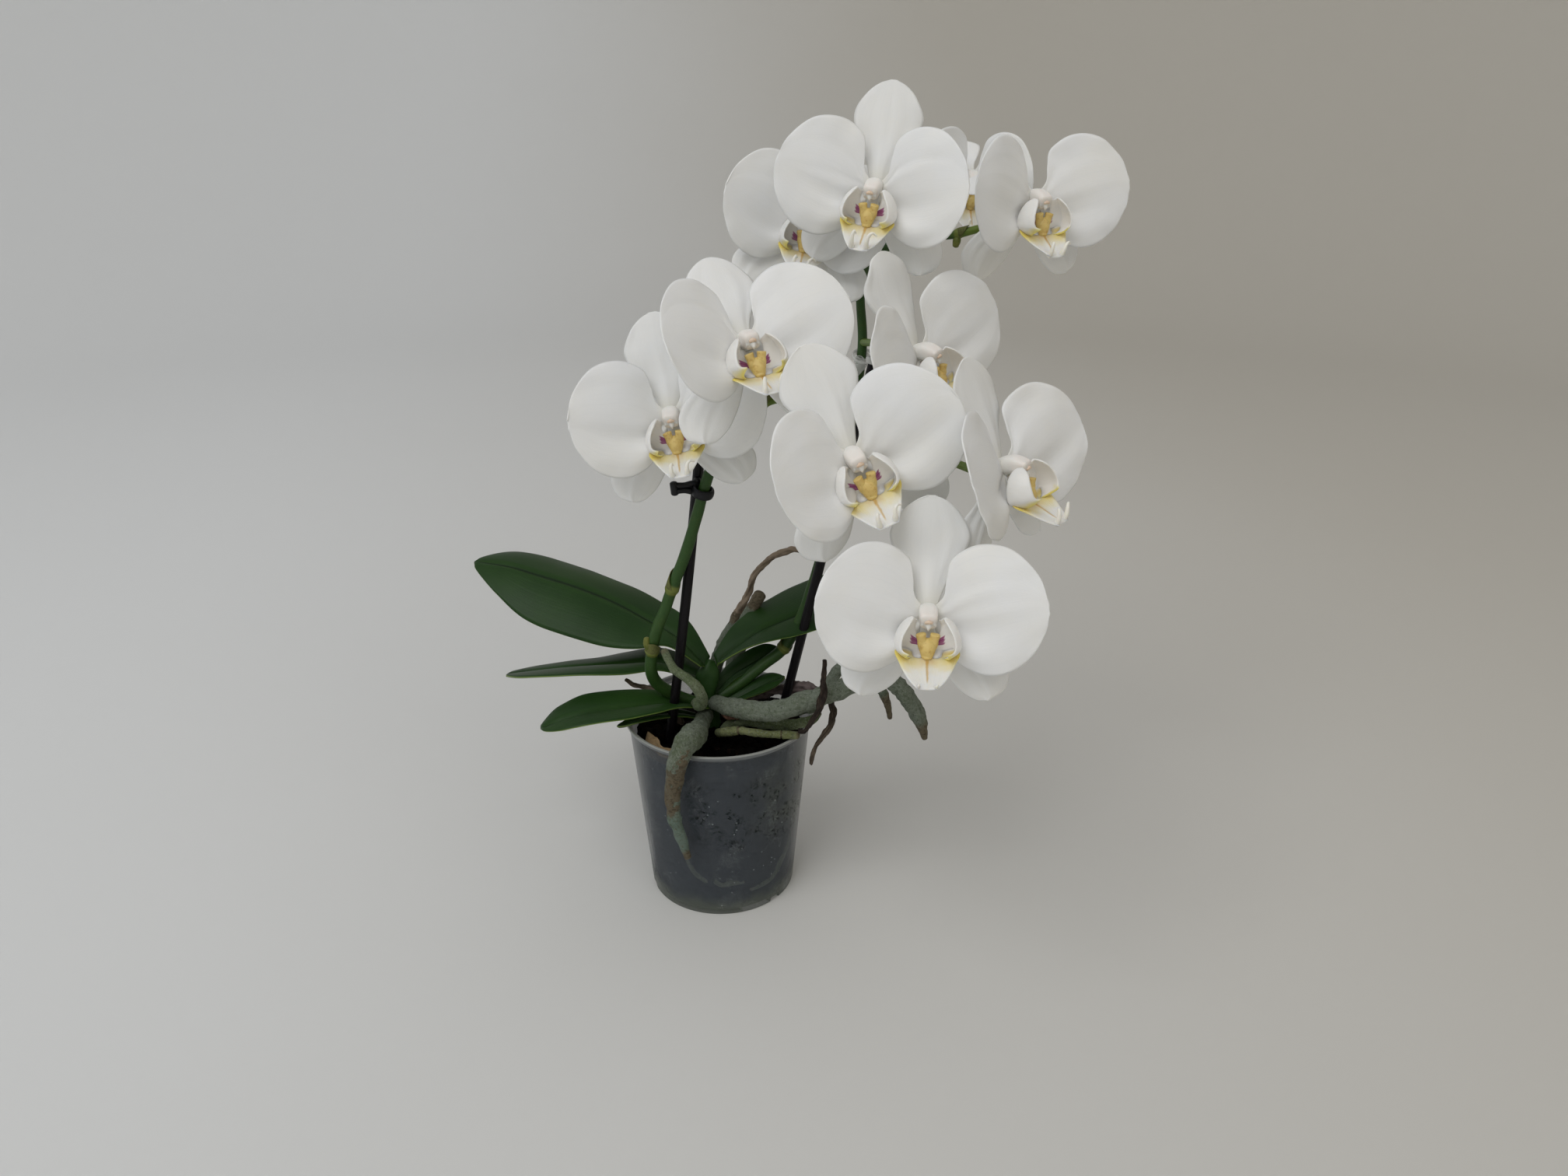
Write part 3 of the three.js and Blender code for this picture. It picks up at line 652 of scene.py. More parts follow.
@dataclass(frozen=True)
class PetalFinish(Finish):
    """White tepal tissue: veins that fan out from the claw and a fine sparkle of cells."""

    colour: Colour = (0.85, 0.853, 0.85)
    cream: Colour = (0.85, 0.838, 0.80)
    vein: Colour = (0.77, 0.78, 0.775)
    claw: Colour = (0.85, 0.83, 0.75)
    veins: float = 11.0

    def look(self, s: Shader, place: Value) -> dict:
        """What the surface's sockets get."""
        u, v = s.uv()
        wander = s.noise(place, 90, 3) - 0.5
        fan = (v + wander * 0.07) * self.veins
        fine = (v + wander * 0.09) * self.veins * 2
        line = (1 - abs((fan * math.pi).wave())) ** 6
        hair = (1 - abs((fine * math.pi).wave())) ** 5 * u.rise(0.35, 0.7)
        streak = s.noise(s.vector(u * 7, v * 90), 1.0, 4)
        patch = s.noise(place, 32, 3)
        net = (line * 0.6 + hair * 0.4) * u.rise(0.02, 0.25) * u.rise(1.02, 0.6) * patch
        tone = s.mix(patch.rise(0.35, 0.75), self.colour, self.cream)
        tone = s.mix((net * 0.45 + streak * 0.25 - 0.06).clamped(), tone, self.vein)
        tone = s.mix(u.rise(0.22, 0.0) * 0.8, tone, self.claw)
        grain = s.cells(place, 1400)
        height = net * -0.10 + streak * 0.30 + grain * 0.10
        return dict(
            Base_Color=tone,
            Roughness=0.5 + grain * 0.12,
            Normal=s.bump(height, 0.12),
            Subsurface_Weight=0.35,
            Subsurface_Radius=(1.0, 0.95, 0.85),
            Subsurface_Scale=0.0016,
            Specular_IOR_Level=0.3,
        )


@dataclass(frozen=True)
class ColumnFinish(Finish):
    """Waxy column: white, blushed pink towards the tip."""

    base: Colour = (0.86, 0.85, 0.81)
    blush: Colour = (0.85, 0.77, 0.71)

    def look(self, s: Shader, place: Value) -> dict:
        """What the surface's sockets get."""
        u, _ = s.uv()
        soft = s.noise(place, 260, 2)
        tone = s.mix((u.rise(0.35, 1.05) * 0.55 + soft * 0.2 - 0.06).clamped(), self.base, self.blush)
        return dict(
            Base_Color=tone,
            Roughness=0.36 + soft * 0.12,
            Normal=s.bump(s.noise(place, 1500, 2), 0.05),
            Subsurface_Weight=0.3,
            Subsurface_Radius=(1.0, 0.8, 0.7),
            Subsurface_Scale=0.0016,
        )


@dataclass(frozen=True)
class WaxFinish(Finish):
    """A small waxy part of one tint with darker freckles."""

    colour: Colour
    freckle: Colour
    amount: float = 0.4
    grain: float = 900.0
    rough: float = 0.42

    def look(self, s: Shader, place: Value) -> dict:
        """What the surface's sockets get."""
        spots = s.noise(place, self.grain, 3, 0.6)
        wide = s.noise(place, self.grain * 0.3, 2)
        share = (spots.rise(0.5, 0.75) * 0.8 + wide.rise(0.4, 0.8) * 0.4) * self.amount
        return dict(
            Base_Color=s.mix(share.clamped(), self.colour, self.freckle),
            Roughness=self.rough + spots * 0.12,
            Normal=s.bump(spots, 0.06),
            Subsurface_Weight=0.2,
            Subsurface_Radius=(1.0, 0.8, 0.5),
            Subsurface_Scale=0.0012,
        )


@dataclass(frozen=True)
class MidLobeFinish(Finish):
    """The lip's middle lobe: yellow shoulders, a rusty middle line and a white tip."""

    white: Colour = (0.85, 0.84, 0.80)
    yellow: Colour = (0.80, 0.63, 0.15)
    rust_and_ledge_shade: Colour = (0.58, 0.38, 0.12)

    def look(self, s: Shader, place: Value) -> dict:
        """What the surface's sockets get."""
        u, v = s.uv()
        stray = s.noise(place, 380, 3) - 0.5
        side = abs(v - 0.5) * 2
        yellow = (u + stray * 0.14).rise(0.76, 0.46) * (0.35 + side * 0.75) * u.rise(0.35, 0.42)
        line = abs(v - 0.5 + stray * 0.035).rise(0.035, 0.006) * u.band(0.34, 0.80, 0.10)
        haze = (side + stray * 0.3).rise(0.45, 0.05) * u.band(0.30, 0.50, 0.14)
        tone = s.mix(yellow.clamped(), self.white, self.yellow)
        # A thin band where the lobe starts below the ledge: partly orange colour, partly painted shadow of
        # the ledge.
        tone = s.mix((u + stray * 0.06).band(0.39, 0.42, 0.04) * 0.35, tone, self.rust_and_ledge_shade)
        tone = s.mix((line * 0.75 + haze * 0.45).clamped(), tone, self.rust_and_ledge_shade)
        ridge = s.noise(s.vector(u * 3, v * 40), 1.0, 2)
        return dict(
            Base_Color=tone,
            Roughness=0.42,
            Normal=s.bump(ridge, 0.12),
            Subsurface_Weight=0.5,
            Subsurface_Radius=(1.0, 0.85, 0.6),
            Subsurface_Scale=0.0018,
        )


@dataclass(frozen=True)
class SideLobeFinish(Finish):
    """A side lobe of the lip: white with a yellow front corner and, inside, purple stripes."""

    striped: bool
    white: Colour = (0.86, 0.845, 0.81)
    # A pinkish white, painted lighter than the outer white as painted light that lifts the shade inside the
    # lobe.
    inner: Colour = (0.94, 0.91, 0.87)
    yellow: Colour = (0.84, 0.70, 0.18)
    purple: Colour = (0.30, 0.03, 0.20)
    stripes: Numbers = (0.475, 0.545, 0.61)

    def look(self, s: Shader, place: Value) -> dict:
        """What the surface's sockets get."""
        u, v = s.uv()
        stray = s.noise(place, 300, 3) - 0.5
        low = (u + stray * 0.12).rise(0.47, 0.25)
        edge = (0.20, 0.05) if self.striped else (0.40, 0.10)
        fore = (v + stray * 0.2).rise(*edge)
        plain = self.inner if self.striped else self.white
        tone = s.mix((low * fore * 0.95).clamped(), plain, self.yellow)
        if self.striped:
            marks: Value | float = 0.0
            for k, at in enumerate(self.stripes):
                shift = u + (v - 0.85) * 0.46 + stray * 0.03
                stripe = abs(shift - at).rise(0.042, 0.026) * v.band(0.72 + 0.02 * k, 0.92, 0.03)
                marks = stripe + marks
            tone = s.mix((marks * 0.92).clamped(), tone, self.purple)
        fan = s.noise(s.vector(u * 50, v * 4), 1.0, 2)
        return dict(
            Base_Color=tone,
            Roughness=0.42,
            Normal=s.bump(fan, 0.1),
            Subsurface_Weight=0.65,
            Subsurface_Radius=(1.0, 0.9, 0.8),
            Subsurface_Scale=0.0022,
        )


@dataclass(frozen=True)
class LeafFinish(Finish):
    """Leathery leaf skin with long faint veins and painted shade in its midrib groove."""

    colour: Colour = (0.0095, 0.034, 0.0055)
    light: Colour = (0.021, 0.060, 0.009)
    shaded_midrib: Colour = (0.0035, 0.012, 0.0025)
    rough: float = 0.36

    def look(self, s: Shader, place: Value) -> dict:
        """What the surface's sockets get."""
        u, v = s.uv()
        cloud = s.noise(place, 38, 4)
        strand = s.noise(s.vector(u * 2.2, v * 46), 1.0, 3)
        side = abs(v - 0.5) * 2
        # Painted shade darkens the midrib groove.
        shaded_midrib = side.rise(0.055, 0.015)
        shoulder = side.band(0.08, 0.13, 0.06)
        tone = s.mix((cloud.rise(0.3, 0.75) * 0.5 + strand * 0.35).clamped(), self.colour, self.light)
        tone = s.mix(shoulder * 0.35, tone, self.light)
        tone = s.mix(shaded_midrib * 0.75, tone, self.shaded_midrib)
        pores = s.cells(place, 2100)
        height = strand * 0.55 + pores * 0.12 - shaded_midrib * 0.3
        return dict(
            Base_Color=tone,
            Roughness=self.rough + cloud * 0.14,
            Normal=s.bump(height, 0.16),
            Specular_IOR_Level=0.21,
        )


@dataclass(frozen=True)
class StemFinish(Finish):
    """Green stem skin with fine pale flecks, olive rings at its joints and a paler top."""

    low: Colour = (0.025, 0.068, 0.012)
    high: Colour = (0.115, 0.175, 0.022)
    ring: Colour = (0.15, 0.175, 0.035)
    rings: Numbers = ()
    turns_pale: tuple[float, float] = (0.6, 0.8)
    reach: float = 0.006

    def look(self, s: Shader, place: Value) -> dict:
        """What the surface's sockets get."""
        u, _ = s.uv()
        cloud = s.noise(place, 120, 3)
        fleck = s.noise(place, 1500, 2, 0.7).rise(0.55, 0.75)
        tone = s.mix((u + (cloud - 0.5) * 0.08).rise(*self.turns_pale), self.low, self.high)
        tone = s.mix(fleck * 0.22 + cloud.rise(0.5, 0.9) * 0.12, tone, self.ring)
        for at in self.rings:
            gap = abs(u - at + (cloud - 0.5) * 0.004)
            tone = s.mix(gap.rise(self.reach * 1.5, self.reach * 0.7) * 0.9, tone, self.ring)
        return dict(
            Base_Color=tone,
            Roughness=0.4 + cloud * 0.15,
            Normal=s.bump(s.noise(place, 900, 3), 0.09),
            Specular_IOR_Level=0.3,
        )


@dataclass(frozen=True)
class StalkFinish(Finish):
    """Stalk of a bloom: green at the stem, paling to greenish white behind the bloom."""

    low: Colour = (0.10, 0.16, 0.02)
    high: Colour = (0.34, 0.40, 0.17)

    def look(self, s: Shader, place: Value) -> dict:
        """What the surface's sockets get."""
        u, v = s.uv()
        cloud = s.noise(place, 200, 3)
        groove = abs((v * (6 * math.pi)).wave()) ** 2
        tone = s.mix((u + (cloud - 0.5) * 0.2).rise(0.35, 1.0), self.low, self.high)
        return dict(
            Base_Color=tone,
            Roughness=0.42,
            Normal=s.bump(groove * 0.6 + cloud * 0.4, 0.2),
            Subsurface_Weight=0.1,
            Subsurface_Radius=(0.5, 1.0, 0.3),
            Subsurface_Scale=0.001,
        )


@dataclass(frozen=True)
class VelamenFinish(Finish):
    """Spongy skin of an aerial root: silver grey over green, flecked, brown where it has peeled."""

    silver: Colour = (0.155, 0.178, 0.140)
    green: Colour = (0.070, 0.092, 0.045)
    brown: Colour = (0.135, 0.105, 0.065)
    low: Colour = (0.13, 0.185, 0.155)
    fleck: Colour = (0.26, 0.28, 0.23)
    pit: Colour = (0.045, 0.055, 0.034)
    rot: Colour = (0.05, 0.036, 0.022)
    greenness: float = 0.4
    peeled: tuple[float, float] | None = None
    brown_tip: float = 1.02
    cracks: Numbers = ()

    def look(self, s: Shader, place: Value) -> dict:
        """What the surface's sockets get."""
        u, v = s.uv()
        cloud = s.noise(place, 85, 5, 0.65)
        strand = s.noise(s.vector(u * 60, v * 20), 1.0, 4, 0.7)
        grain = s.noise(place, 1100, 4, 0.75)
        share = (cloud.rise(0.38, 0.62) * self.greenness + strand.rise(0.46, 0.66) * 0.45).clamped()
        tone = s.mix(share, self.silver, self.green)
        speck = s.noise(place, 620, 4, 0.8)
        tone = s.mix(speck.rise(0.50, 0.36) * 0.65, tone, self.pit)
        tone = s.mix(grain.rise(0.53, 0.66) * 0.55, tone, self.fleck)
        worn = (u + (cloud - 0.5) * 0.08).rise(self.brown_tip - 0.05, self.brown_tip)
        if self.peeled is not None:
            start, end = self.peeled
            rough = s.noise(place, 300, 4, 0.65) - 0.5
            ragged = u + (cloud - 0.5) * 0.45 + rough * 0.30 + (v * (2 * math.pi)).wave() * 0.07
            tone = s.mix(ragged.rise(end, end + 0.08) * speck.rise(0.38, 0.52) * 0.75, tone, self.low)
            torn = ragged.band(start, end, 0.008) * rough.rise(0.16, 0.10)
            lip = abs(ragged - start).rise(0.014, 0.004)
            worn = (worn + torn).clamped()
            tone = s.mix(lip * 0.7, tone, self.fleck)
        for at in self.cracks:
            gap = abs(u - at + (cloud - 0.5) * 0.03)
            worn = (worn + gap.rise(0.012, 0.004)).clamped()
        tone = s.mix((worn * (0.60 + strand * 0.5)).clamped(), tone, self.brown)
        tone = s.mix(worn * speck.rise(0.52, 0.40) * 0.7, tone, self.rot)
        height = grain * 0.4 + cloud * 0.6 + strand * 0.6 + speck * 0.7 + worn * speck * 0.9
        return dict(
            Base_Color=tone,
            Roughness=0.72 + grain * 0.2,
            Normal=s.bump(height, 0.55),
            Specular_IOR_Level=0.25,
        )


@dataclass(frozen=True)
class DryFinish(Finish):
    """Dried root or sheath: brown fibre with pale and nearly black streaks."""

    dark: Colour = (0.028, 0.020, 0.014)
    light: Colour = (0.20, 0.155, 0.11)
    lightness: float = 0.5
    darker_below: float | None = None

    def look(self, s: Shader, place: Value) -> dict:
        """What the surface's sockets get."""
        u, v = s.uv()
        fibre = s.noise(s.vector(u * 9, v * 14), 1.0, 4, 0.6)
        blotch = s.noise(place, 160, 3, 0.6)
        low = 0.75 - self.lightness * 0.5
        share = (fibre * 0.6 + blotch * 0.5).rise(low - 0.14, low + 0.30)
        tone = s.mix(share, self.dark, self.light)
        # Darker towards the sheath's foot, low in v.
        if self.darker_below is not None:
            tone = s.mix(v.rise(self.darker_below, self.darker_below - 0.15) * 0.9, tone, self.dark)
        return dict(
            Base_Color=tone,
            Roughness=0.82,
            Normal=s.bump(fibre * 0.7 + s.noise(place, 1200, 2) * 0.3, 0.35),
            Specular_IOR_Level=0.25,
        )


@dataclass(frozen=True)
class PlasticFinish(Finish):
    """Moulded plastic, solid or letting light through, finely scuffed."""

    colour: Colour
    rough: float = 0.35
    alpha: float = 1.0
    scuff: Colour = (0.3, 0.3, 0.3)
    scuffs: float = 0.1
    gleam: float = 0.3

    def look(self, s: Shader, place: Value) -> dict:
        """What the surface's sockets get."""
        wear = s.noise(place, 240, 4, 0.65, 0.4)
        fine = s.noise(place, 2200, 2)
        share = (wear.rise(0.56, 0.75) * self.scuffs).clamped()
        height = wear * 0.4 + fine * 0.2
        return dict(
            Base_Color=s.mix(share, self.colour, self.scuff),
            Roughness=self.rough + wear * 0.16,
            Normal=s.bump(height, 0.08),
            Alpha=self.alpha,
            Specular_IOR_Level=self.gleam,
        )


@dataclass(frozen=True)
class PotFinish(Finish):
    """Clear plastic gone milky: thin at the wall, whiter in the thick rim and foot, scuffed; painted sheen on
    its sides seen edge-on, and thin painted highlights on the rim.
    """

    milk: Colour = (0.105, 0.122, 0.142)
    rim: Colour = (0.185, 0.20, 0.205)
    # Colour of the painted sheen on the sides seen edge-on.
    side: Colour = (0.30, 0.31, 0.31)
    film: Colour = (0.120, 0.135, 0.105)
    moss: Colour = (0.012, 0.018, 0.009)
    # Dust and scuff colour, which also paints the thin highlights on the rim.
    dust_and_highlight: Colour = (0.42, 0.43, 0.40)
    wall_alpha: float = 0.33
    rim_from: float = 89.6
    rim_top: float = 92.3

    def look(self, s: Shader, place: Value) -> dict:
        """What the surface's sockets get."""
        x, y, z = s.parts(place)
        cloud = s.noise(place, 26, 4)
        blot = s.noise(place, 110, 4, 0.6)
        rim = z.rise((self.rim_from - 0.5) * MM, (self.rim_from + 0.3) * MM)
        # Thin painted highlights along the rim's top edge and along the collar crease.
        edge = z.band(self.rim_top * MM, 100 * MM, 0.2 * MM)
        collar_highlight = z.band(90.3 * MM, 90.8 * MM, 0.2 * MM)
        line = (edge + collar_highlight).clamped()
        foot = (z + (blot - 0.5) * 0.012).rise(11 * MM, 4 * MM)
        # Painted sheen: the sides seen edge-on are painted lighter and more opaque.
        haze = (abs(x).rise(0.029, 0.041) * (0.7 + cloud * 0.6)).clamped()
        mossy = x.band(-8 * MM, 34 * MM, 10 * MM) * z.band(44 * MM, 70 * MM, 12 * MM)
        mossy = mossy * y.rise(0.0, -0.01)
        fine = s.noise(place, 520, 4, 0.7)
        dots = (fine.rise(0.52, 0.57) * blot.rise(0.45, 0.56) * mossy).clamped()
        stain = x.rise(0.010, 0.03) * z.band(50 * MM, 72 * MM, 14 * MM) * blot.rise(0.35, 0.6)
        stain = stain.clamped()
        scratch = s.noise(place, 520, 3, 0.5, 3.0)
        marks = abs(scratch - 0.5).rise(0.010, 0.003) * s.noise(place, 85, 3).rise(0.56, 0.62)
        specks = s.cells(place, 300).rise(0.14, 0.08) * s.noise(place, 70, 2).rise(0.54, 0.60)
        tone = s.mix(rim, self.milk, self.rim)
        tone = s.mix(haze * 0.9, tone, self.side)
        tone = s.mix((foot * 0.8 + stain * 0.55).clamped(), tone, self.film)
        tone = s.mix(dots * 0.8, tone, self.moss)
        tone = s.mix((marks * 0.7 + specks * 0.5 + line * 0.8).clamped(), tone, self.dust_and_highlight)
        alpha = self.wall_alpha + rim * 0.45 + foot * 0.28 + (cloud - 0.5) * 0.16 + haze * 0.32
        alpha = alpha + (marks + specks) * 0.30 - dots * 0.18 + stain * 0.16
        return dict(
            Base_Color=tone,
            Roughness=0.26 + cloud * 0.14 + dots * 0.5,
            Normal=s.bump(cloud, 0.25),
            Alpha=alpha.clamped(),
            Specular_IOR_Level=0.36,
        )


@dataclass(frozen=True)
class BarkFinish(Finish):
    """Damp bark and fibre: nearly black with brown chips and greenish film."""

    dark: Colour = (0.0022, 0.0018, 0.0016)
    chip: Colour = (0.011, 0.007, 0.005)
    film: Colour = (0.013, 0.016, 0.011)
    size: float = 90.0

    def look(self, s: Shader, place: Value) -> dict:
        """What the surface's sockets get."""
        _, _, z = s.parts(place)
        cells = s.cells(place, self.size)
        fibre = s.noise(place, 190, 3, 0.6, 0.8)
        patch = s.noise(place, 55, 3)
        share = (cells.rise(0.55, 0.1) * fibre.rise(0.35, 0.75) * 0.6).clamped()
        tone = s.mix(share, self.dark, self.chip)
        wet = (patch.rise(0.55, 0.75) * 0.35 + z.rise(16 * MM, 4 * MM) * 0.8).clamped()
        tone = s.mix(wet * fibre.rise(0.3, 0.7), tone, self.film)
        return dict(
            Base_Color=tone,
            Roughness=0.85,
            Normal=s.bump(fibre * 0.6 + cells * 0.5, 0.5),
            Specular_IOR_Level=0.04,
        )


@dataclass(frozen=True)
class StudioFinish(Finish):
    """Matt sweep, with painted shade: darker and warmer towards the right."""

    cool: Colour = (0.755, 0.765, 0.765)
    # Colour of the painted shade at the right.
    painted_shade_warm: Colour = (0.575, 0.55, 0.495)

    def look(self, s: Shader, place: Value) -> dict:
        """What the surface's sockets get."""
        x, y, _ = s.parts(place)
        # Painted shade: the sweep darkens and warms from left to right.
        across = x + y * 0.10 + (s.noise(place, 3.0, 2) - 0.5) * 0.12
        tone = s.mix(across.rise(-0.55, 0.75), self.cool, self.painted_shade_warm)
        return dict(Base_Color=tone, Roughness=0.9, Specular_IOR_Level=0.1)


# Blooms


class Hand(Enum):
    """Which side of a bloom, as the viewer sees it."""

    LEFT = -1
    RIGHT = 1


def mirrored(line: Rows, hand: Hand) -> list[list[float]]:
    """A line drawn for a bloom's right side, on one of its sides."""
    return [[x * hand.value, y, z] for x, y, z in line]


PETAL_TOP = [
    [1.8, 2.6], [6.2, 8], [6.9, 15], [8.8, 22.6], [18.6, 28.2], [30.6, 27.1], [41, 18.2], [45.5, 7.6]
]
PETAL_FOOT = [
    [2.3, -2.8], [6.1, -10.4], [15, -18.9], [26.2, -21.6], [37.5, -16.3], [44.3, -5], [45.8, 4.4]
]
DORSAL_EDGE = [[3.1, 2], [6.6, 11.4], [12.6, 22], [15.6, 31], [11.3, 39.4], [6.2, 44], [1.2, 46.1]]
SIDE_OUTER = [[2.9, -0.5], [13.3, -6.7], [24.6, -12.8], [32.5, -21.2], [31.8, -29.9], [26.6, -33.9]]
SIDE_INNER = [[-0.5, -2.9], [2.8, -13], [6.9, -21.9], [12.7, -29.7], [19, -34.1], [23.4, -34.9]]


@dataclass
class BloomSkins:
    """The materials that all blooms share."""

    petal: Material = field(default_factory=PetalFinish("petal").make)
    sepal: Material = field(
        default_factory=PetalFinish("sepal", (0.835, 0.837, 0.825), veins=8.0).make
    )
    column: Material = field(default_factory=ColumnFinish("column").make)
    cap: Material = field(
        default_factory=WaxFinish("anther_cap", (0.79, 0.62, 0.48), (0.74, 0.46, 0.30), 0.8).make
    )
    mid_lobe: Material = field(default_factory=MidLobeFinish("lip_middle").make)
    lobe_in: Material = field(default_factory=SideLobeFinish("lip_side_in", True).make)
    lobe_out: Material = field(default_factory=SideLobeFinish("lip_side_out", False).make)
    callus: Material = field(
        default_factory=WaxFinish("callus", (0.74, 0.56, 0.20), (0.50, 0.28, 0.05), 0.75, 800).make
    )
    tendril: Material = field(
        default_factory=WaxFinish("tendril", (0.93, 0.90, 0.82), (0.82, 0.75, 0.52), 0.3).make
    )


@dataclass
class Bloom:
    """One open bloom: five tepals, the column and the lip.

    In its own millimetres X runs to the viewer's right, Y up and Z to the viewer.
    """

    number: int
    at: Numbers
    yaw: float
    pitch: float
    roll: float
    size: float
    left: float
    right: float
    dorsal: float
    side: float
    stem: str
    leaves_from: int
    lean: float = 0.0
    via: Rows | None = None
    curls: float = 0.9

    THICKNESS: ClassVar[float] = 0.62
    LIP_LINE: ClassVar[Rows] = [
        [0, -2.5, 3], [0, -10.5, 4.5], [0, -14, 9], [0, -18, 14], [0, -21.6, 18.6], [0, -24.4, 22.6]
    ]
    LIP_HALF: ClassVar[Numbers] = [2.6, 3.8, 12, 10.4, 7.4, 3.9]
    FOLDS: ClassVar[int] = 5

    # The side lobes stand round the lip's heart, where 0 degrees points down.
    BOWL_FROM: ClassVar[float] = 0.55
    LOBE_FROM: ClassVar[float] = 14
    LOBE_SWEEP: ClassVar[float] = 138
    LOBE_RADIUS: ClassVar[float] = 12.4
    LOBE_BELOW: ClassVar[float] = 6.5
    LOBE_ABOVE: ClassVar[float] = 12.2
    LOBE_FLOOR: ClassVar[float] = 8.4
    HEART_Y: ClassVar[float] = -9.5
    HEART_Z: ClassVar[float] = 10.6

    COLUMN: ClassVar[Rows] = [
        [0, 0.4, -4], [0, 0.8, -1], [0, 1.5, 3], [0, 1.5, 6.5], [0, 0.3, 9.6], [0, -0.8, 11.7]
    ]
    COLUMN_RADII: ClassVar[Numbers] = [2, 3.1, 3.7, 3.9, 3.8, 3.5]
    CAP: ClassVar[Rows] = [[-1.1, -0.9, 12.8], [0, -0.6, 13], [1.1, -0.9, 12.8]]
    TOOTH: ClassVar[Rows] = [[0, -2.0, 11.6], [0, -3.1, 12], [0, -4.1, 11.8]]
    EAR: ClassVar[Rows] = [[1.9, -0.9, 10.9], [2.3, -1.8, 11.3], [2.7, -2.5, 11.4]]
    CALLUS: ClassVar[Rows] = [[0, -14.4, 10.9], [0, -12, 10.8], [0, -9.7, 10.3], [0, -8.1, 10]]
    CALLUS_RADII: ClassVar[Numbers] = [2.1, 3.1, 3.2, 2.3]
    HORN: ClassVar[Rows] = [[0.9, -13, 10.5], [1.7, -10.2, 10.6], [2.3, -7.8, 11], [2.75, -5.5, 11.6]]
    HORN_RADII: ClassVar[Numbers] = [1.6, 2.0, 1.85, 1.9]

    # A tendril's points: out from the middle, swayed aside, curled up, forward.
    TENDRIL: ClassVar[Rows] = [
        [3.2, 0, 0, 21.3], [3.3, 0.1, 2.4, 22.9], [3.3, 0.9, 5.2, 23.6], [3.3, 2.4, 6.4, 23.4],
        [3.3, 4.2, 5.6, 22.6],
    ]
    TENDRIL_RADII: ClassVar[Numbers] = [1.35, 1.05, 0.8, 0.6, 0.35]
    TENDRIL_FOOT: ClassVar[float] = -23.6
    LEFT_SWAY: ClassVar[float] = 0.35

    def matrix(self) -> Matrix:
        """Places the bloom's own millimetres in the frame's."""
        basis = Matrix(((1, 0, 0, 0), (0, 0, -1, 0), (0, 1, 0, 0), (0, 0, 0, 1)))
        made = Matrix.Translation(self.at) @ Matrix.Rotation(math.radians(self.yaw), 4, "Z")
        made = made @ Matrix.Rotation(math.radians(self.pitch), 4, "X") @ basis
        made = made @ Matrix.Rotation(math.radians(-self.roll), 4, "Z")
        return made @ Matrix.Scale(self.size, 4)

    def front(self) -> Vector:
        """The direction that the bloom faces."""
        return self.matrix().to_3x3() @ Vector((0, 0, 1))

    def _soft(self, points: Array, u: Array, v: Array, key: int) -> Array:
        """Adds the slight waves of living tissue, more towards the margin."""
        margin = np.abs(2 * v - 1)
        seed = 31 * self.number + key
        wide = ripple(points[:, :2], 36, seed) * 0.85 * np.minimum(3 * u, 1)
        frill = ripple(points[:, :2], 16, seed + 7) * 0.65 * margin**3 * np.minimum(2 * u, 1)
        made = points.copy()
        made[:, 2] += wide + frill
        return made

    def _folds(self, u: Array, v: Array, key: int, deep: float) -> Array:
        """Soft folds that run out from the claw, other ones on each tepal.

        Args:
            u: Places from the claw to the tip.
            v: Places across.
            key: Picks the folds of one tepal.
            deep: Height of a fold, in millimetres.

        Returns:
            One height for each place.
        """
        draw = np.random.default_rng(97 * self.number + key)
        total = np.zeros_like(v)
        for _ in range(self.FOLDS):
            at = draw.uniform(0.08, 0.92)
            reach = draw.uniform(0.035, 0.085)
            drift = draw.normal() * 0.12
            height = draw.choice([-1, 1]) * draw.uniform(0.5, 1)
            total = total + height * hump(v + drift * (u - 0.4), at, reach)
        return deep * total * hump(u, 0.40, 0.30)

    def petal(self, hand: Hand, u: Array, v: Array) -> Array:
        """A petal arches forward from its claw, its edges fall back and its tip comes forward."""
        top = along(PETAL_TOP, u)
        flat = top + (along(PETAL_FOOT, u) - top) * v[:, None]
        reach = np.minimum(flat[:, 0] / 47, 1)
        arch = 3 * np.sin(math.pi * reach) + 5.6 * reach**2
        depth = 1.5 + arch - 3 * (flat[:, 1] / 26) ** 2
        crest = 1.9 * hump(v, 0.86, 0.12) - 1.5 * hump(v, 0.64, 0.10)
        depth = depth + crest * hump(u, 0.38, 0.26) + self._folds(u, v, 11 + hand.value, 0.42)
        angle = math.radians(self.left if hand is Hand.LEFT else self.right)
        x = flat[:, 0] * math.cos(angle) - depth * math.sin(angle)
        z = flat[:, 0] * math.sin(angle) + depth * math.cos(angle)
        return self._soft(np.stack([hand.value * x, flat[:, 1], z], 1), u, v, 1 + hand.value)

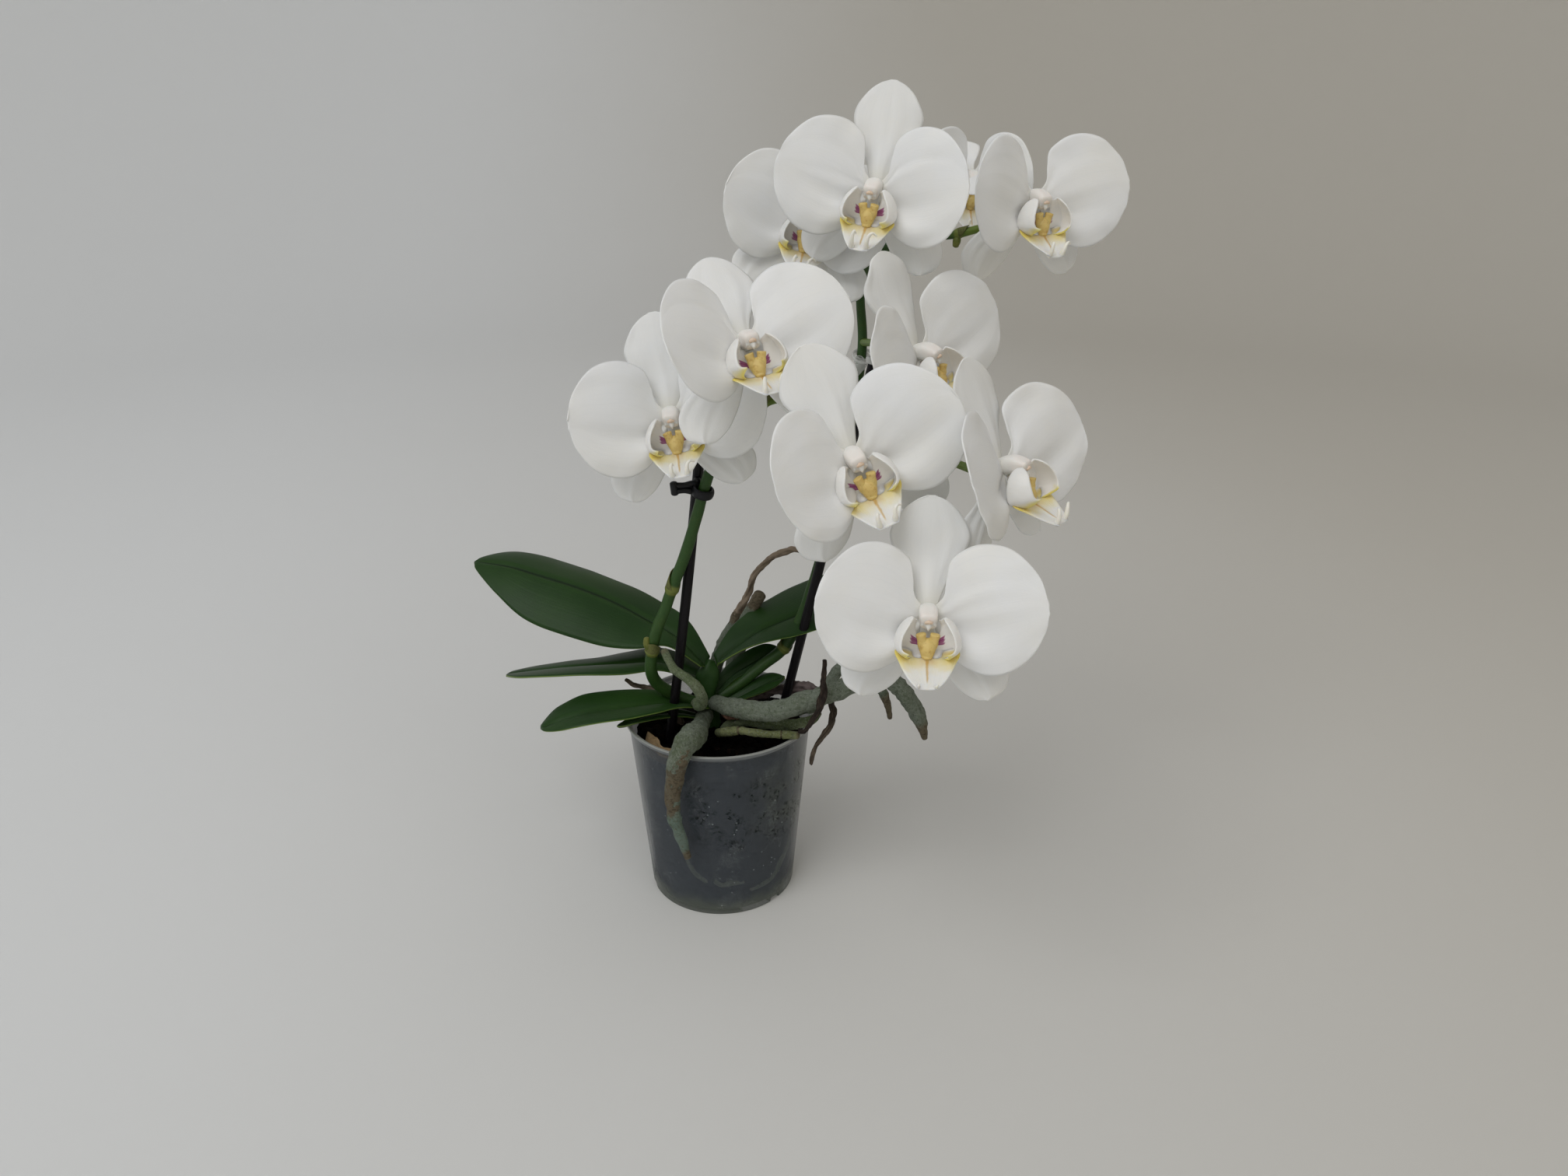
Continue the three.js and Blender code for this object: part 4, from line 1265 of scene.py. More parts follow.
    def dorsal_sepal(self, u: Array, v: Array) -> Array:
        """The upper sepal, laid forward or back, and turned where it leans."""
        edge = along(DORSAL_EDGE, u)
        x = edge[:, 0] * (2 * v - 1)
        depth = -1 - 2 * (x / 15) ** 2 - 3 * (edge[:, 1] / 46) ** 2
        depth = depth + 1.7 * hump(x, 0, 4.5) * hump(edge[:, 1], 10, 9)
        depth = depth + self._folds(u, v, 21, 0.3)
        rise = np.maximum(edge[:, 1] - 3, 0)
        tilt = math.radians(self.dorsal)
        y = edge[:, 1] - rise + rise * math.cos(tilt) - depth * math.sin(tilt)
        z = rise * math.sin(tilt) + depth * math.cos(tilt)
        lean = math.radians(self.lean)
        turned_x = x * math.cos(lean) - y * math.sin(lean)
        turned_y = x * math.sin(lean) + y * math.cos(lean)
        return self._soft(np.stack([turned_x, turned_y, z], 1), u, v, 3)

    def side_sepal(self, hand: Hand, u: Array, v: Array) -> Array:
        """A lower sepal, with its edges bent back."""
        outer = along(SIDE_OUTER, u)
        flat = outer + (along(SIDE_INNER, u) - outer) * v[:, None]
        reach = np.linalg.norm(flat, axis=1)
        bend = 2 * (2 * v - 1) ** 2 * (reach / 40)
        depth = -1 + reach * math.sin(math.radians(self.side)) - bend
        depth = depth + 0.5 * hump(2 * v - 1, 0, 0.12) * np.minimum(3 * u, 1)
        depth = depth + self._folds(u, v, 31 + hand.value, 0.5)
        points = np.stack([hand.value * flat[:, 0], flat[:, 1], depth], 1)
        return self._soft(points, u, v, 5 + hand.value)

    def make_tepals(self, skins: BloomSkins) -> MeshObject:
        """Models the three sepals and two petals.

        Args:
            skins: The shared materials.

        Returns:
            One piece.
        """
        matrix = self.matrix()
        facing = self.front()
        sepal = Skin(skins.sepal)
        petal = Skin(skins.petal)
        thick = self.THICKNESS
        parts = [sheet("dorsal", 44, 24, self.dorsal_sepal, thick, sepal, matrix, facing)]
        for hand in Hand:
            below = lambda u, v, hand=hand: self.side_sepal(hand, u, v)
            beside = lambda u, v, hand=hand: self.petal(hand, u, v)
            parts.append(sheet("side", 40, 24, below, thick, sepal, matrix, facing))
            parts.append(sheet("petal", 56, 48, beside, thick, petal, matrix, facing))
        return join(f"tepals_{self.number:02d}", parts)

    def make_column(self, skins: BloomSkins) -> MeshObject:
        """Models the column with its anther cap, side ears and tooth.

        Args:
            skins: The shared materials.

        Returns:
            One piece.
        """
        matrix = self.matrix()

        def block(share: Array, angle: Array, point: Array) -> Array:
            """Squares the column towards its tip."""
            return -0.32 * np.cos(4 * angle) * np.clip(2 * share - 0.5, 0, 1)

        waxy = skins.column
        parts = [
            tube("column", self.COLUMN, self.COLUMN_RADII, waxy, 28, 30, block, (0.2, 0.30), matrix),
            tube("cap", self.CAP, [0.6, 0.85, 0.6], skins.cap, 16, 12, None, (0.8, 0.8), matrix),
            tube("tooth", self.TOOTH, [1.5, 0.85, 0.2], waxy, 12, 10, matrix=matrix),
        ]
        for hand in Hand:
            ear = mirrored(self.EAR, hand)
            parts.append(tube("ear", ear, [1.4, 1.0, 0.3], waxy, 12, 10, matrix=matrix))
        return join(f"column_{self.number:02d}", parts)

    def middle_lobe(self, u: Array, v: Array) -> Array:
        """The trowel-shaped middle lobe, its edges lifted to the viewer and its tip blunt."""
        at = along(self.LIP_LINE, u)
        across = 2 * v - 1
        half = along(self.LIP_HALF, u)
        lift = 1.6 * across**2 * (half / 12)
        keel = 0.7 * hump(across, 0, 0.10) * hump(u, 0.55, 0.3)
        ruffle = 0.35 * np.abs(across) ** 3 * np.sin(9 * u + self.number)
        y = at[:, 1] + lift + ruffle + keel * 0.7
        z = at[:, 2] + 0.4 * lift + keel * 0.7
        return np.stack([half * across, y, z], 1)

    def side_lobe(self, hand: Hand, u: Array, v: Array) -> Array:
        """A side lobe, which stands up beside the column.

        Args:
            hand: Its side of the bloom.
            u: Places round the heart, from below to above.
            v: Places from the forward edge to behind the callus, where it closes.

        Returns:
            The points of its middle surface.
        """
        turn = self.LOBE_FROM + self.LOBE_SWEEP * u
        strip = np.minimum(v / self.BOWL_FROM, 1)
        inward = np.clip((v - self.BOWL_FROM) / (1 - self.BOWL_FROM), 0, 1)
        stands = np.clip((turn - 22) / 38, 0, 1)
        stands = stands * stands * (3 - 2 * stands)
        reach = np.sqrt(np.maximum(1 - ((turn - 70) / 90) ** 2, 0)) * stands
        reach = reach * np.sqrt(np.clip(1 - ((u - 0.86) / 0.145) ** 2 * (u > 0.86), 0, 1))
        corner = 1.5 * hump(turn, 52, 12) * (1 - strip) ** 2
        ahead = 0.2 + 2.4 * stands + 5.4 * reach * (1 - 2 * strip) + corner
        waist = np.sqrt(np.maximum(1 - (ahead / 12) ** 2, 0.05))
        drop = np.cos(np.radians(turn))
        tall = np.where(drop > 0, self.LOBE_BELOW, self.LOBE_ABOVE)
        flare = 0.8 * (1 - strip) ** 3 * np.sin(math.pi * u)
        x = (self.LOBE_RADIUS * np.sin(np.radians(turn)) + flare) * waist
        y = self.HEART_Y - tall * drop * waist
        z = self.HEART_Z + ahead
        open_above = np.clip((turn - 80) / 70, 0, 1)
        ease = inward * (2 - inward)
        inner = (0.10 + 0.60 * open_above) * self.LOBE_RADIUS * np.sin(np.radians(turn))
        x = x + (inner - x) * ease
        y = y + (self.HEART_Y - 0.62 * tall * drop - y) * ease * (1 - 0.6 * open_above)
        z = z + (self.LOBE_FLOOR - z) * inward**1.3
        return np.stack([hand.value * x, y, z], 1)

    def make_lip(self, skins: BloomSkins) -> MeshObject:
        """Models the lip: middle lobe, side lobes, callus and tendrils.

        Args:
            skins: The shared materials.

        Returns:
            One piece.
        """
        matrix = self.matrix()
        turn = matrix.to_3x3()
        top = turn @ Vector((0, 1, 0.6))
        parts = [
            sheet("middle", 40, 28, self.middle_lobe, 0.7, Skin(skins.mid_lobe), matrix, top)
        ]
        warty = skins.callus
        for hand in Hand:
            lobe = lambda u, v, hand=hand: self.side_lobe(hand, u, v)
            inward = turn @ Vector((-hand.value, 0, 0))
            skin = Skin(skins.lobe_in, skins.lobe_out, skins.lobe_out)
            parts.append(sheet("side_lobe", 44, 34, lobe, 0.7, skin, matrix, inward))
            curl, wire = self.tendril(hand)
            parts.append(tube("tendril", curl, wire, skins.tendril, 10, 28, matrix=matrix))
            horn = mirrored(self.HORN, hand)
            ends = (0.4, 0.10)
            parts.append(tube("horn", horn, self.HORN_RADII, warty, 16, 16, self._wart, ends, matrix))
        body, fat = self.CALLUS, self.CALLUS_RADII
        parts.append(tube("callus", body, fat, warty, 24, 24, self._wart, (0.7, 0.4), matrix))
        return join(f"lip_flower_{self.number:02d}", parts)

    def tendril(self, hand: Hand) -> tuple[list[list[float]], list[float]]:
        """A tendril of the middle lobe; both sway to the viewer's right, the left one less.

        Args:
            hand: Its side of the bloom.

        Returns:
            Its line and its radii.
        """
        curled = min(self.curls, 1)
        sway = curled * (1 if hand is Hand.RIGHT else self.LEFT_SWAY)
        line = [
            [out * hand.value + aside * sway, self.TENDRIL_FOOT + self.curls * up, forward]
            for out, aside, up, forward in self.TENDRIL
        ]
        thick = 0.45 + 0.55 * curled
        return line, [thick * radius for radius in self.TENDRIL_RADII]

    @staticmethod
    def _wart(share: Array, angle: Array, point: Array) -> Array:
        """Low uneven bumps on the callus, which is flatter from front to back."""
        return 0.13 * ripple(point, 2.4, 5) - 0.5 * np.cos(angle) ** 2 * (share > 0)

    def make(self, skins: BloomSkins) -> None:
        """Models the bloom and hands its pieces over.

        Args:
            skins: The shared materials.
        """
        node = f"bloom_{self.number:02d}"
        hand_over(self.make_tepals(skins), "petal", node)
        hand_over(self.make_column(skins), "petal", node)
        hand_over(self.make_lip(skins), "lip", f"lip_{self.number:02d}")


BLOOMS = [
    Bloom(1, (-14.4, -32, 243.9), 2, -10, -10, 0.918, 13, 15, -3, -4, "left", 12),
    Bloom(2, (15.7, -50, 276), 18, -24, -8, 0.932, 25, 11, -19, -5, "left", 13,
          via=[[17, -31, 274]]),
    Bloom(3, (67.7, 0, 328.9), -16, -1, 6, 0.9, 12, 12, -6, -2, "right", 12,
          via=[[87, 33, 313], [81, 13, 327]], curls=1.15),
    Bloom(4, (41.6, 30, 313.7), -2, -10, 10, 0.89, 20, 25, -20, 14, "right", 11),
    Bloom(5, (117.4, 84, 328.6), 8, 10, 4, 0.82, 25, 50, -75, -5, "right", 12, lean=25,
          via=[[78, 64, 311], [82, 90, 315], [101, 99, 321]]),
    Bloom(6, (135.5, 28, 322.6), 24, -3, 0, 0.916, 16, 12, -74, -4, "right", 15, lean=12),
    Bloom(7, (84.2, -20, 266.6), 45, -9, -13, 0.937, 11, 10, -4, -5, "right", 9),
    Bloom(8, (55.3, -85, 242.6), 10, -7, -22, 0.947, 33, 13, -6, -2, "left", 15),
    Bloom(9, (111.6, -74, 234.7), 50, -17, -4, 0.938, 10, 12, 1, -5, "left", 16),
    Bloom(10, (82.9, -107, 190.2), -5, -13, 0, 0.939, 13, 7, -7, -4, "left", 18, curls=0.2),
]


# Leaves and crown


@dataclass
class Leaf:
    """A strap leaf: a midrib line with two halves, each with its own width and slope.

    A positive drop lets the edge hang below the midrib.
    """

    node: str
    spine: Rows
    near: Numbers
    far: Numbers
    near_drop: Numbers
    far_drop: Numbers
    steps: int = 90

    THICKNESS: ClassVar[float] = 1.35
    THIN: ClassVar[float] = 0.35
    FACES_ACROSS: ClassVar[int] = 40

    @staticmethod
    def half(widths: Numbers, u: Array) -> Array:
        """Half the leaf's width, which ends in a round tip."""
        step = 1 / (len(widths) - 1)
        tip = np.clip((u - 1 + step) / step, 0, 1)
        held = along([*widths[:-1], 0.5 * widths[-2]], u)
        return held * np.sqrt(np.maximum(1 - tip**2, 0.0004))

    def place(self, u: Array, v: Array) -> Array:
        """The middle surface: each half slightly domed, with a groove over the midrib."""
        share = 2 * v - 1
        near = share > 0
        at = along(self.spine, u)
        nudge = 1e-3
        run = along(self.spine, u + nudge) - along(self.spine, u - nudge)
        to_left = np.where(run[:, 0] < 0, 1.0, -1.0)
        across = unit(np.stack([run[:, 1], -run[:, 0], 0 * u], 1))
        out = across * np.where(near, -to_left, to_left)[:, None]
        full = np.where(near, self.half(self.near, u), self.half(self.far, u))
        width = full * np.abs(share)
        drop = np.radians(np.where(near, along(self.near_drop, u), along(self.far_drop, u)))
        dome = 0.055 * full * np.sin(math.pi * np.abs(share))
        groove = 1.3 * np.exp(-((width / 1.5) ** 2)) * np.minimum(8 * (1 - u), 1)
        wave = ripple(at, 60, len(self.node)) * 0.5 * np.abs(share) ** 2
        up = np.array([0, 0, 1.0])
        made = at + out * (width * np.cos(drop))[:, None]
        return made + up * (dome - groove + wave - width * np.sin(drop))[:, None]

    def make(self, skin: Skin) -> None:
        """Models the leaf and hands it over.

        Args:
            skin: Its materials, top, underside and margin.
        """
        name = self.node.replace("leaf", "blade")
        made = sheet(
            name, self.steps, self.FACES_ACROSS, self.place, self.THICKNESS, skin,
            facing=Vector((0, 0, 1)), thin=self.THIN,
        )
        hand_over(made, "leaf", self.node)


LEAVES = [
    Leaf(
        "leaf_left_upper",
        [[-6, 2, 114.5], [-20, 8, 127.5], [-34, 12, 134.5], [-50, 16, 142], [-68, 19, 148.5],
         [-85, 22, 153], [-102, 26, 156.6], [-117.6, 28, 157.2]],
        [6, 10, 18, 24, 25.5, 24, 16.5, 2],
        [5.4, 12, 17, 22, 25, 25, 19, 2],
        [-25, 6, 26, 36, 40, 40, 36, 25],
        [-38, -22, -8, 2, 5, 5, 3, 0],
    ),
    Leaf(
        "leaf_right_upper",
        [[-1, 3.4, 115.4], [10, 9, 123], [20, 14, 128], [31, 20, 130.5], [45, 26, 133.5],
         [62, 31, 138], [80, 34, 141.5], [98, 36, 142.5]],
        [4.4, 8, 12, 14, 15, 15, 11, 2],
        [4.6, 11, 15, 19, 23, 24, 18, 2],
        [-25, -6, 4, 10, 12, 14, 14, 10],
        [-35, -22, -12, -10, -10, -8, -4, 0],
    ),
    Leaf(
        "leaf_left_lower",
        [[-8, 3, 108], [-27, 5.5, 115], [-45, 6, 114], [-60, 7, 112.3], [-75, 9, 110],
         [-90, 11.5, 107], [-104, 14, 104]],
        [5, 7.5, 13, 16, 17, 13, 2],
        [6, 11, 15, 17, 17, 13, 2],
        [-4, 6, -4, -12, -14, -14, -12],
        [-20, -8, 4, 12, 14, 14, 12],
    ),
    Leaf(
        "leaf_left_bottom",
        [[-6, -3, 96], [-20, -10, 101.5], [-32, -16, 103.5], [-44, -22, 105], [-57, -28, 106.3],
         [-68, -32, 105.2], [-78, -35.5, 102]],
        [4, 8, 12, 14, 14, 11, 2],
        [4, 8, 13, 16, 17, 14, 2],
        [-10, -10, -8, -6, -6, -4, 0],
        [-20, -14, -8, -4, 0, 4, 4],
    ),
    Leaf(
        "leaf_right_small",
        [[-3, 4, 99], [5, 10, 105.8], [14, 14.5, 110], [22, 19, 113], [28, 22, 115]],
        [3, 4, 5, 4.5, 1.2],
        [3, 5, 6.5, 5.5, 1.2],
        [20, 25, 30, 30, 20],
        [-25, -25, -25, -25, -20],
        50,
    ),
    Leaf(
        "leaf_right_stub",
        [[-1, 1, 94], [9, 3.5, 98], [18, 6.5, 101.5], [25, 9.5, 103.8], [31, 12, 104.2]],
        [3, 4, 5, 5, 1.2],
        [3, 4, 5, 5, 1.2],
        [0, 10, 20, 25, 20],
        [-10, -10, -10, -5, 0],
        50,
    ),
    Leaf(
        "leaf_left_stub",
        [[-10, -5, 92], [-20, -10, 96.5], [-33, -16.5, 98.6], [-46, -23, 96.4]],
        [2.5, 3.5, 4, 1],
        [2.5, 3.5, 4, 1],
        [0, 5, 10, 10],
        [0, -5, -5, 0],
        50,
    ),
]


@dataclass
class Crown:
    """The short stem, widening upward into a fan of overlapping leaf bases."""

    points: Rows = (
        (-6, 2, 62), (-6, 2, 80), (-5.5, 1, 92), (-5.7, 1, 100), (-5.8, 1.6, 107), (-5.0, 2.4, 112),
        (-4.2, 3.2, 116.5),
    )
    radii: Numbers = (5.5, 6.5, 4.6, 4.3, 5.2, 5.0, 2.2)
    middle: float = 2.0
    flatness: float = 0.78

    def sheaths(self, share: Array, angle: Array, point: Array) -> Array:
        """Edges of the sheaths that wrap each other, slanting up the crown."""
        return 0.5 * np.sin(3 * angle + 9 * share) + 0.25 * ripple(point, 6, 3)

    def make(self) -> None:
        """Models the crown and hands it over."""
        skin = StemFinish(
            "crown_skin", (0.016, 0.050, 0.008), (0.014, 0.050, 0.006), (0.07, 0.12, 0.03),
            turns_pale=(0.5, 0.9),
        ).make()
        made = tube("leaf_fan_base", self.points, self.radii, skin, 32, 70, self.sheaths)
        rows = read_points(made)
        centre = self.middle * MM
        rows[:, 1] = centre + (rows[:, 1] - centre) * self.flatness
        write_points(made, rows)
        hand_over(made, "crown", "crown")


# Flower stems


@dataclass
class FlowerStem:
    """A flower stem with its ringed joints, dormant buds, bracts and the stalks of its blooms."""

    name: str
    points: Rows
    radii: Numbers
    joints: Sequence[int]
    buds: Sequence[Rows]
    turns_pale: tuple[float, float]

    RING_SWELL: ClassVar[float] = 0.30
    RING_REACH: ClassVar[float] = 2.0
    FACE_LENGTH: ClassVar[float] = 0.7
    BRACT_LENGTH: ClassVar[float] = 7.5
    BUD_RADII: ClassVar[Numbers] = (1.3, 1.8, 1.4)

    # Radii of a stalk: at its foot, along it, at its neck and at the bloom.
    STALK_RADII: ClassVar[Numbers] = (1.75, 1.55, 1.75, 2.1)

    def joint_shares(self) -> list[float]:
        """Where the joints are, as shares of the line."""
        return [joint / (len(self.points) - 1) for joint in self.joints]

    def length(self) -> float:
        """The line's length in millimetres."""
        return line_length(self.points, 400)

    def swell(self, share: Array, angle: Array, point: Array) -> Array:
        """A collar at each joint, and slight flats between them."""
        radius = along(self.radii, share)
        made = 0.05 * ripple(point, 9, 2) + 0.04 * np.cos(5 * angle + 20 * share)
        for at in self.joint_shares():
            gap = (share - at) * self.length()
            made = made + radius * self.RING_SWELL * np.exp(-((gap / 1.5) ** 2))
        return made

    def bract(self, at: float, length: float, turn: float, skin: Skin) -> MeshObject:
        """A small pointed scale that hugs the stem above a joint.

        Args:
            at: Its foot, as a share of the line.
            length: How far it reaches up the stem, in millimetres.
            turn: Which side of the stem its middle is on, in degrees.
            skin: Its materials.

        Returns:
            The mesh object.
        """
        reach = length / self.length()

        def place(u: Array, v: Array) -> Array:
            """Points round the stem, narrowing upward."""
            share = np.clip(at + reach * u, 0, 1)
            order = np.argsort(share)
            rows, _, across, up = line_frames(self.points, share[order])
            base, side, top = (np.empty_like(rows) for _ in range(3))
            base[order], side[order], top[order] = rows, across, up
            half = 150 * (1 - u) ** 0.8 + 4
            angle = np.radians(turn + half * (2 * v - 1))
            size = along(self.radii, share) + 0.45 + 0.25 * u
            out = np.cos(angle)[:, None] * top + np.sin(angle)[:, None] * side
            return base + out * size[:, None]

        return sheet("bract", 14, 24, place, 0.4, skin)

    def stalk(self, bloom: Bloom, material: Material) -> MeshObject:
        """A stalk leaves its joint and comes to its bloom's back, round what is in its way.

        Args:
            bloom: The bloom that it bears.
            material: Its material.

        Returns:
            The mesh object.
        """
        matrix = bloom.matrix()
        start = Vector(self.points[bloom.leaves_from])
        behind = matrix @ Vector((0, -0.8, -8))
        end = matrix @ Vector((0, 0.2, -4.3))
        half_way = (start + behind) / 2 + Vector((0, 0, 2))
        rows = [start, *(bloom.via or [half_way]), behind, end]
        foot, shaft, neck, top = self.STALK_RADII
        radii = [foot, *[shaft for _ in rows[1:-2]], neck, top]
        return tube("stalk", [list(row) for row in rows], radii, material, 14, 18 * len(rows))

    def make(self) -> None:
        """Models the stem and hands its pieces over."""
        rings = tuple(self.joint_shares())
        reach = self.RING_REACH / self.length()
        skin = StemFinish(f"stem_{self.name}_skin", rings=rings, turns_pale=self.turns_pale, reach=reach)
        steps = int(self.length() / self.FACE_LENGTH)
        main = tube("main", self.points, self.radii, skin.make(), 20, steps, self.swell)
        bud_skin = StemFinish(f"bud_{self.name}", (0.11, 0.13, 0.022), (0.14, 0.15, 0.03)).make()
        parts = [main]
        for bud in self.buds:
            parts.append(tube("bud", bud, self.BUD_RADII, bud_skin, 16, 20))
        hand_over(join(f"flower_stem_{self.name}", parts), "stem", f"stem_{self.name}")
        papery = DryFinish(f"bract_{self.name}", (0.05, 0.055, 0.02), (0.15, 0.16, 0.05), 0.7)
        skin = Skin(papery.make())
        scales = [
            self.bract(at, self.BRACT_LENGTH, 90 + 140 * k, skin) for k, at in enumerate(rings)
        ]
        hand_over(join(f"bracts_{self.name}", scales), "stem")
        pale = StalkFinish(f"stalk_{self.name}").make()
        stalks = [self.stalk(bloom, pale) for bloom in BLOOMS if bloom.stem == self.name]
        hand_over(join(f"stalks_{self.name}", stalks), "stem", f"stem_{self.name}")


FLOWER_STEMS = [
    FlowerStem(
        "left",
        [[-10, -4, 98], [-20, -7, 104], [-27.5, -11, 112], [-30, -15, 121], [-28.8, -17, 132],
         [-25.7, -20, 144.5], [-21.8, -21, 154], [-18.2, -22, 164.5], [-11.4, -24, 182.4], [-6, -25.5, 200],
         [-3, -26, 210.5], [1, -25.5, 222], [8, -24, 236], [22, -25, 248], [40, -34, 253], [58, -46, 249],
         [72, -58, 237], [80, -66, 222], [83, -74, 209]],
        [3, 3, 2.9, 2.8, 2.7, 2.6, 2.5, 2.5, 2.5, 2.45, 2.4, 2.3, 2.2, 2.1, 2, 1.9, 1.8, 1.7, 1.5],
        [4, 7, 13],
        [[[-27, -17.4, 132], [-30.4, -19, 135.4], [-30.8, -19.4, 139]]],
        (0.60, 0.68),
    ),
    FlowerStem(
        "right",
        [[-1, 4, 97], [8, 7.5, 101.5], [20, 12, 110], [30.5, 15, 118], [38.6, 17, 132.4],
         [44.5, 19, 150.1], [49.8, 21, 169.1], [58.4, 24, 206], [63.7, 26, 242], [65.7, 28, 262.5],
         [64.6, 33, 284.5], [69, 41, 297], [81, 45, 303], [95, 44, 306], [107.4, 41, 307.5],
         [121, 40, 311]],
        [2.8, 2.8, 2.8, 2.8, 2.6, 2.5, 2.4, 2.3, 2.2, 2.1, 2, 2, 1.9, 1.9, 1.9, 1.6],
        [3, 10, 14],
        [[[107.4, 41, 307], [106.9, 40.2, 304.6], [106.4, 39.6, 302.6]]],
        (0.90, 0.96),
    ),
]


# Stakes and clips


@dataclass
class Stake:
    """A moulded plastic rod."""

    node: str
    points: Rows
    radius: float = 2.2

    @staticmethod
    def ribs(share: Array, angle: Array, point: Array) -> Array:
        """Shallow flutes along the rod."""
        return 0.07 * np.cos(6 * angle)

    def make(self, material: Material) -> None:
        """Models the stake and hands it over."""
        radii = [self.radius for _ in self.points]
        name = self.node.replace("stake", "rod")
        made = tube(name, self.points, radii, material, 36, 120, self.ribs, (0.3, 0.5))
        hand_over(made, "stake", self.node)


STAKES = [
    Stake("stake_left", [[-25.6, -11.5, 62], [-22.7, -12.5, 85], [-12.7, -17, 157.5], [-3.6, -21.4, 232]]),
    Stake("stake_right", [[23.8, 8.4, 62], [33.1, 10, 100.1], [56, 15.5, 197], [82.6, 21.6, 306]]),
]


def hoop(
    name: str, at: Numbers, tilt: Numbers, radius: float, wire: float, tall: float,
    material: Material,
) -> MeshObject:
    """A moulded ring.

    Args:
        name: The object's name.
        at: Its middle, in millimetres.
        tilt: The direction of its axis.
        radius: From its middle to the middle of its band.
        wire: Half the band's thickness.
        tall: Half the band's height.
        material: Its material.

    Returns:
        The mesh object, placed in its mesh.
    """
    clear_selection()
    bpy.ops.mesh.primitive_torus_add(
        major_segments=48, minor_segments=18, major_radius=radius * MM, minor_radius=wire * MM
    )
    obj = named(bpy.context.object, name)
    stretch = Matrix.Diagonal((1, 1, tall / wire, 1))
    turn = Vector((0, 0, 1)).rotation_difference(Vector(tilt)).to_matrix().to_4x4()
    obj.data.transform(Matrix.Translation(Vector(at) * MM) @ turn @ stretch)
    obj.data.materials.append(material)
    return smooth(obj)


@dataclass
class BlackClip:
    """The spring clip that ties the left stem to its stake: two hoops and a pinched grip."""

    colour: Colour = (0.004, 0.0045, 0.006)

    ARMS: ClassVar[Sequence[Rows]] = [
        [[-4.6, -23.4, 212.4], [-7.6, -24.8, 213.4], [-11, -26, 213.2], [-15.4, -26.8, 213.4]],
        [[-4.6, -23.6, 209.6], [-7.6, -25, 210.2], [-11, -26.2, 211], [-15.2, -26.8, 210.8]],
    ]
    ARM_RADII: ClassVar[Numbers] = (1.5, 1.5, 1.25, 1.35)
    KNOB: ClassVar[Rows] = [[-14.9, -26.8, 209.9], [-15.3, -26.9, 214.2]]
    HINGE: ClassVar[Rows] = [[-6.5, -23.3, 208.6], [-5.6, -23.6, 215]]

    def make(self) -> None:
        """Models the clip and hands it over."""
        skin = PlasticFinish("black_plastic", self.colour, 0.32, scuff=(0.05, 0.05, 0.055)).make()
        parts = [
            hoop("stem_hoop", (-3.2, -26, 210.3), (0.25, -0.15, 1), 3.9, 0.95, 2.1, skin),
            hoop("stake_hoop", (-6.4, -20.1, 210.3), (0.14, -0.06, 1), 3.3, 0.9, 2.0, skin),
        ]
        parts += [tube("arm", arm, self.ARM_RADII, skin, 16, 26) for arm in self.ARMS]
        parts.append(tube("knob", self.KNOB, [1.7, 1.7], skin, 18, 14))
        parts.append(tube("hinge", self.HINGE, [1.3, 1.5], skin, 16, 18))
        hand_over(join("spring_clip", parts), "clip_black", "clip_black")


@dataclass
class ClearClip:
    """The clear clip on the right stem: thin hoops, one inside the other, with a flat tab."""

    colour: Colour = (0.72, 0.73, 0.70)
    alpha: float = 0.42

    def make(self) -> None:
        """Models the clip and hands it over."""
        skin = PlasticFinish(
            "clear_plastic", self.colour, 0.14, self.alpha, scuff=(0.85, 0.85, 0.82), scuffs=0.3
        ).make()
        parts = [
            hoop("outer_hoop", (66.2, 25.8, 256.6), (0.1, -0.5, 1), 4.9, 0.5, 0.8, skin),
            hoop("inner_hoop", (65.5, 27.4, 256.2), (0.2, -0.4, 1), 3.3, 0.45, 1.2, skin),
            hoop("stake_hoop", (70.5, 18.9, 256), (0.24, 0.06, 1), 3.4, 0.5, 1.5, skin),
            hoop("eye", (64.2, 24.2, 255), (0.1, -1, 0.5), 2.0, 0.4, 0.7, skin),
        ]

        def tab(u: Array, v: Array) -> Array:
            """The flat tab, from the hoops to its free end."""
            start = np.array([66.5, 22.4, 254.6])
            end = np.array([61.2, 22.6, 248.6])
            wide = np.array([1.3, 0.2, -1.2])
            return start + (end - start) * u[:, None] + wide * ((2 * v - 1) * 1.15)[:, None]

        parts.append(sheet("tab", 12, 8, tab, 0.8, Skin(skin)))
        hand_over(join("hoop_clip", parts), "clip_clear", "clip_clear")


# Roots


class RootKind(Enum):
    """How a root looks: the record's slot and how rough its skin is, in millimetres."""

    SILVER = ("root", 0.24)
    GREEN = ("root_green", 0.18)
    DRY = ("root_dry", 0.30)


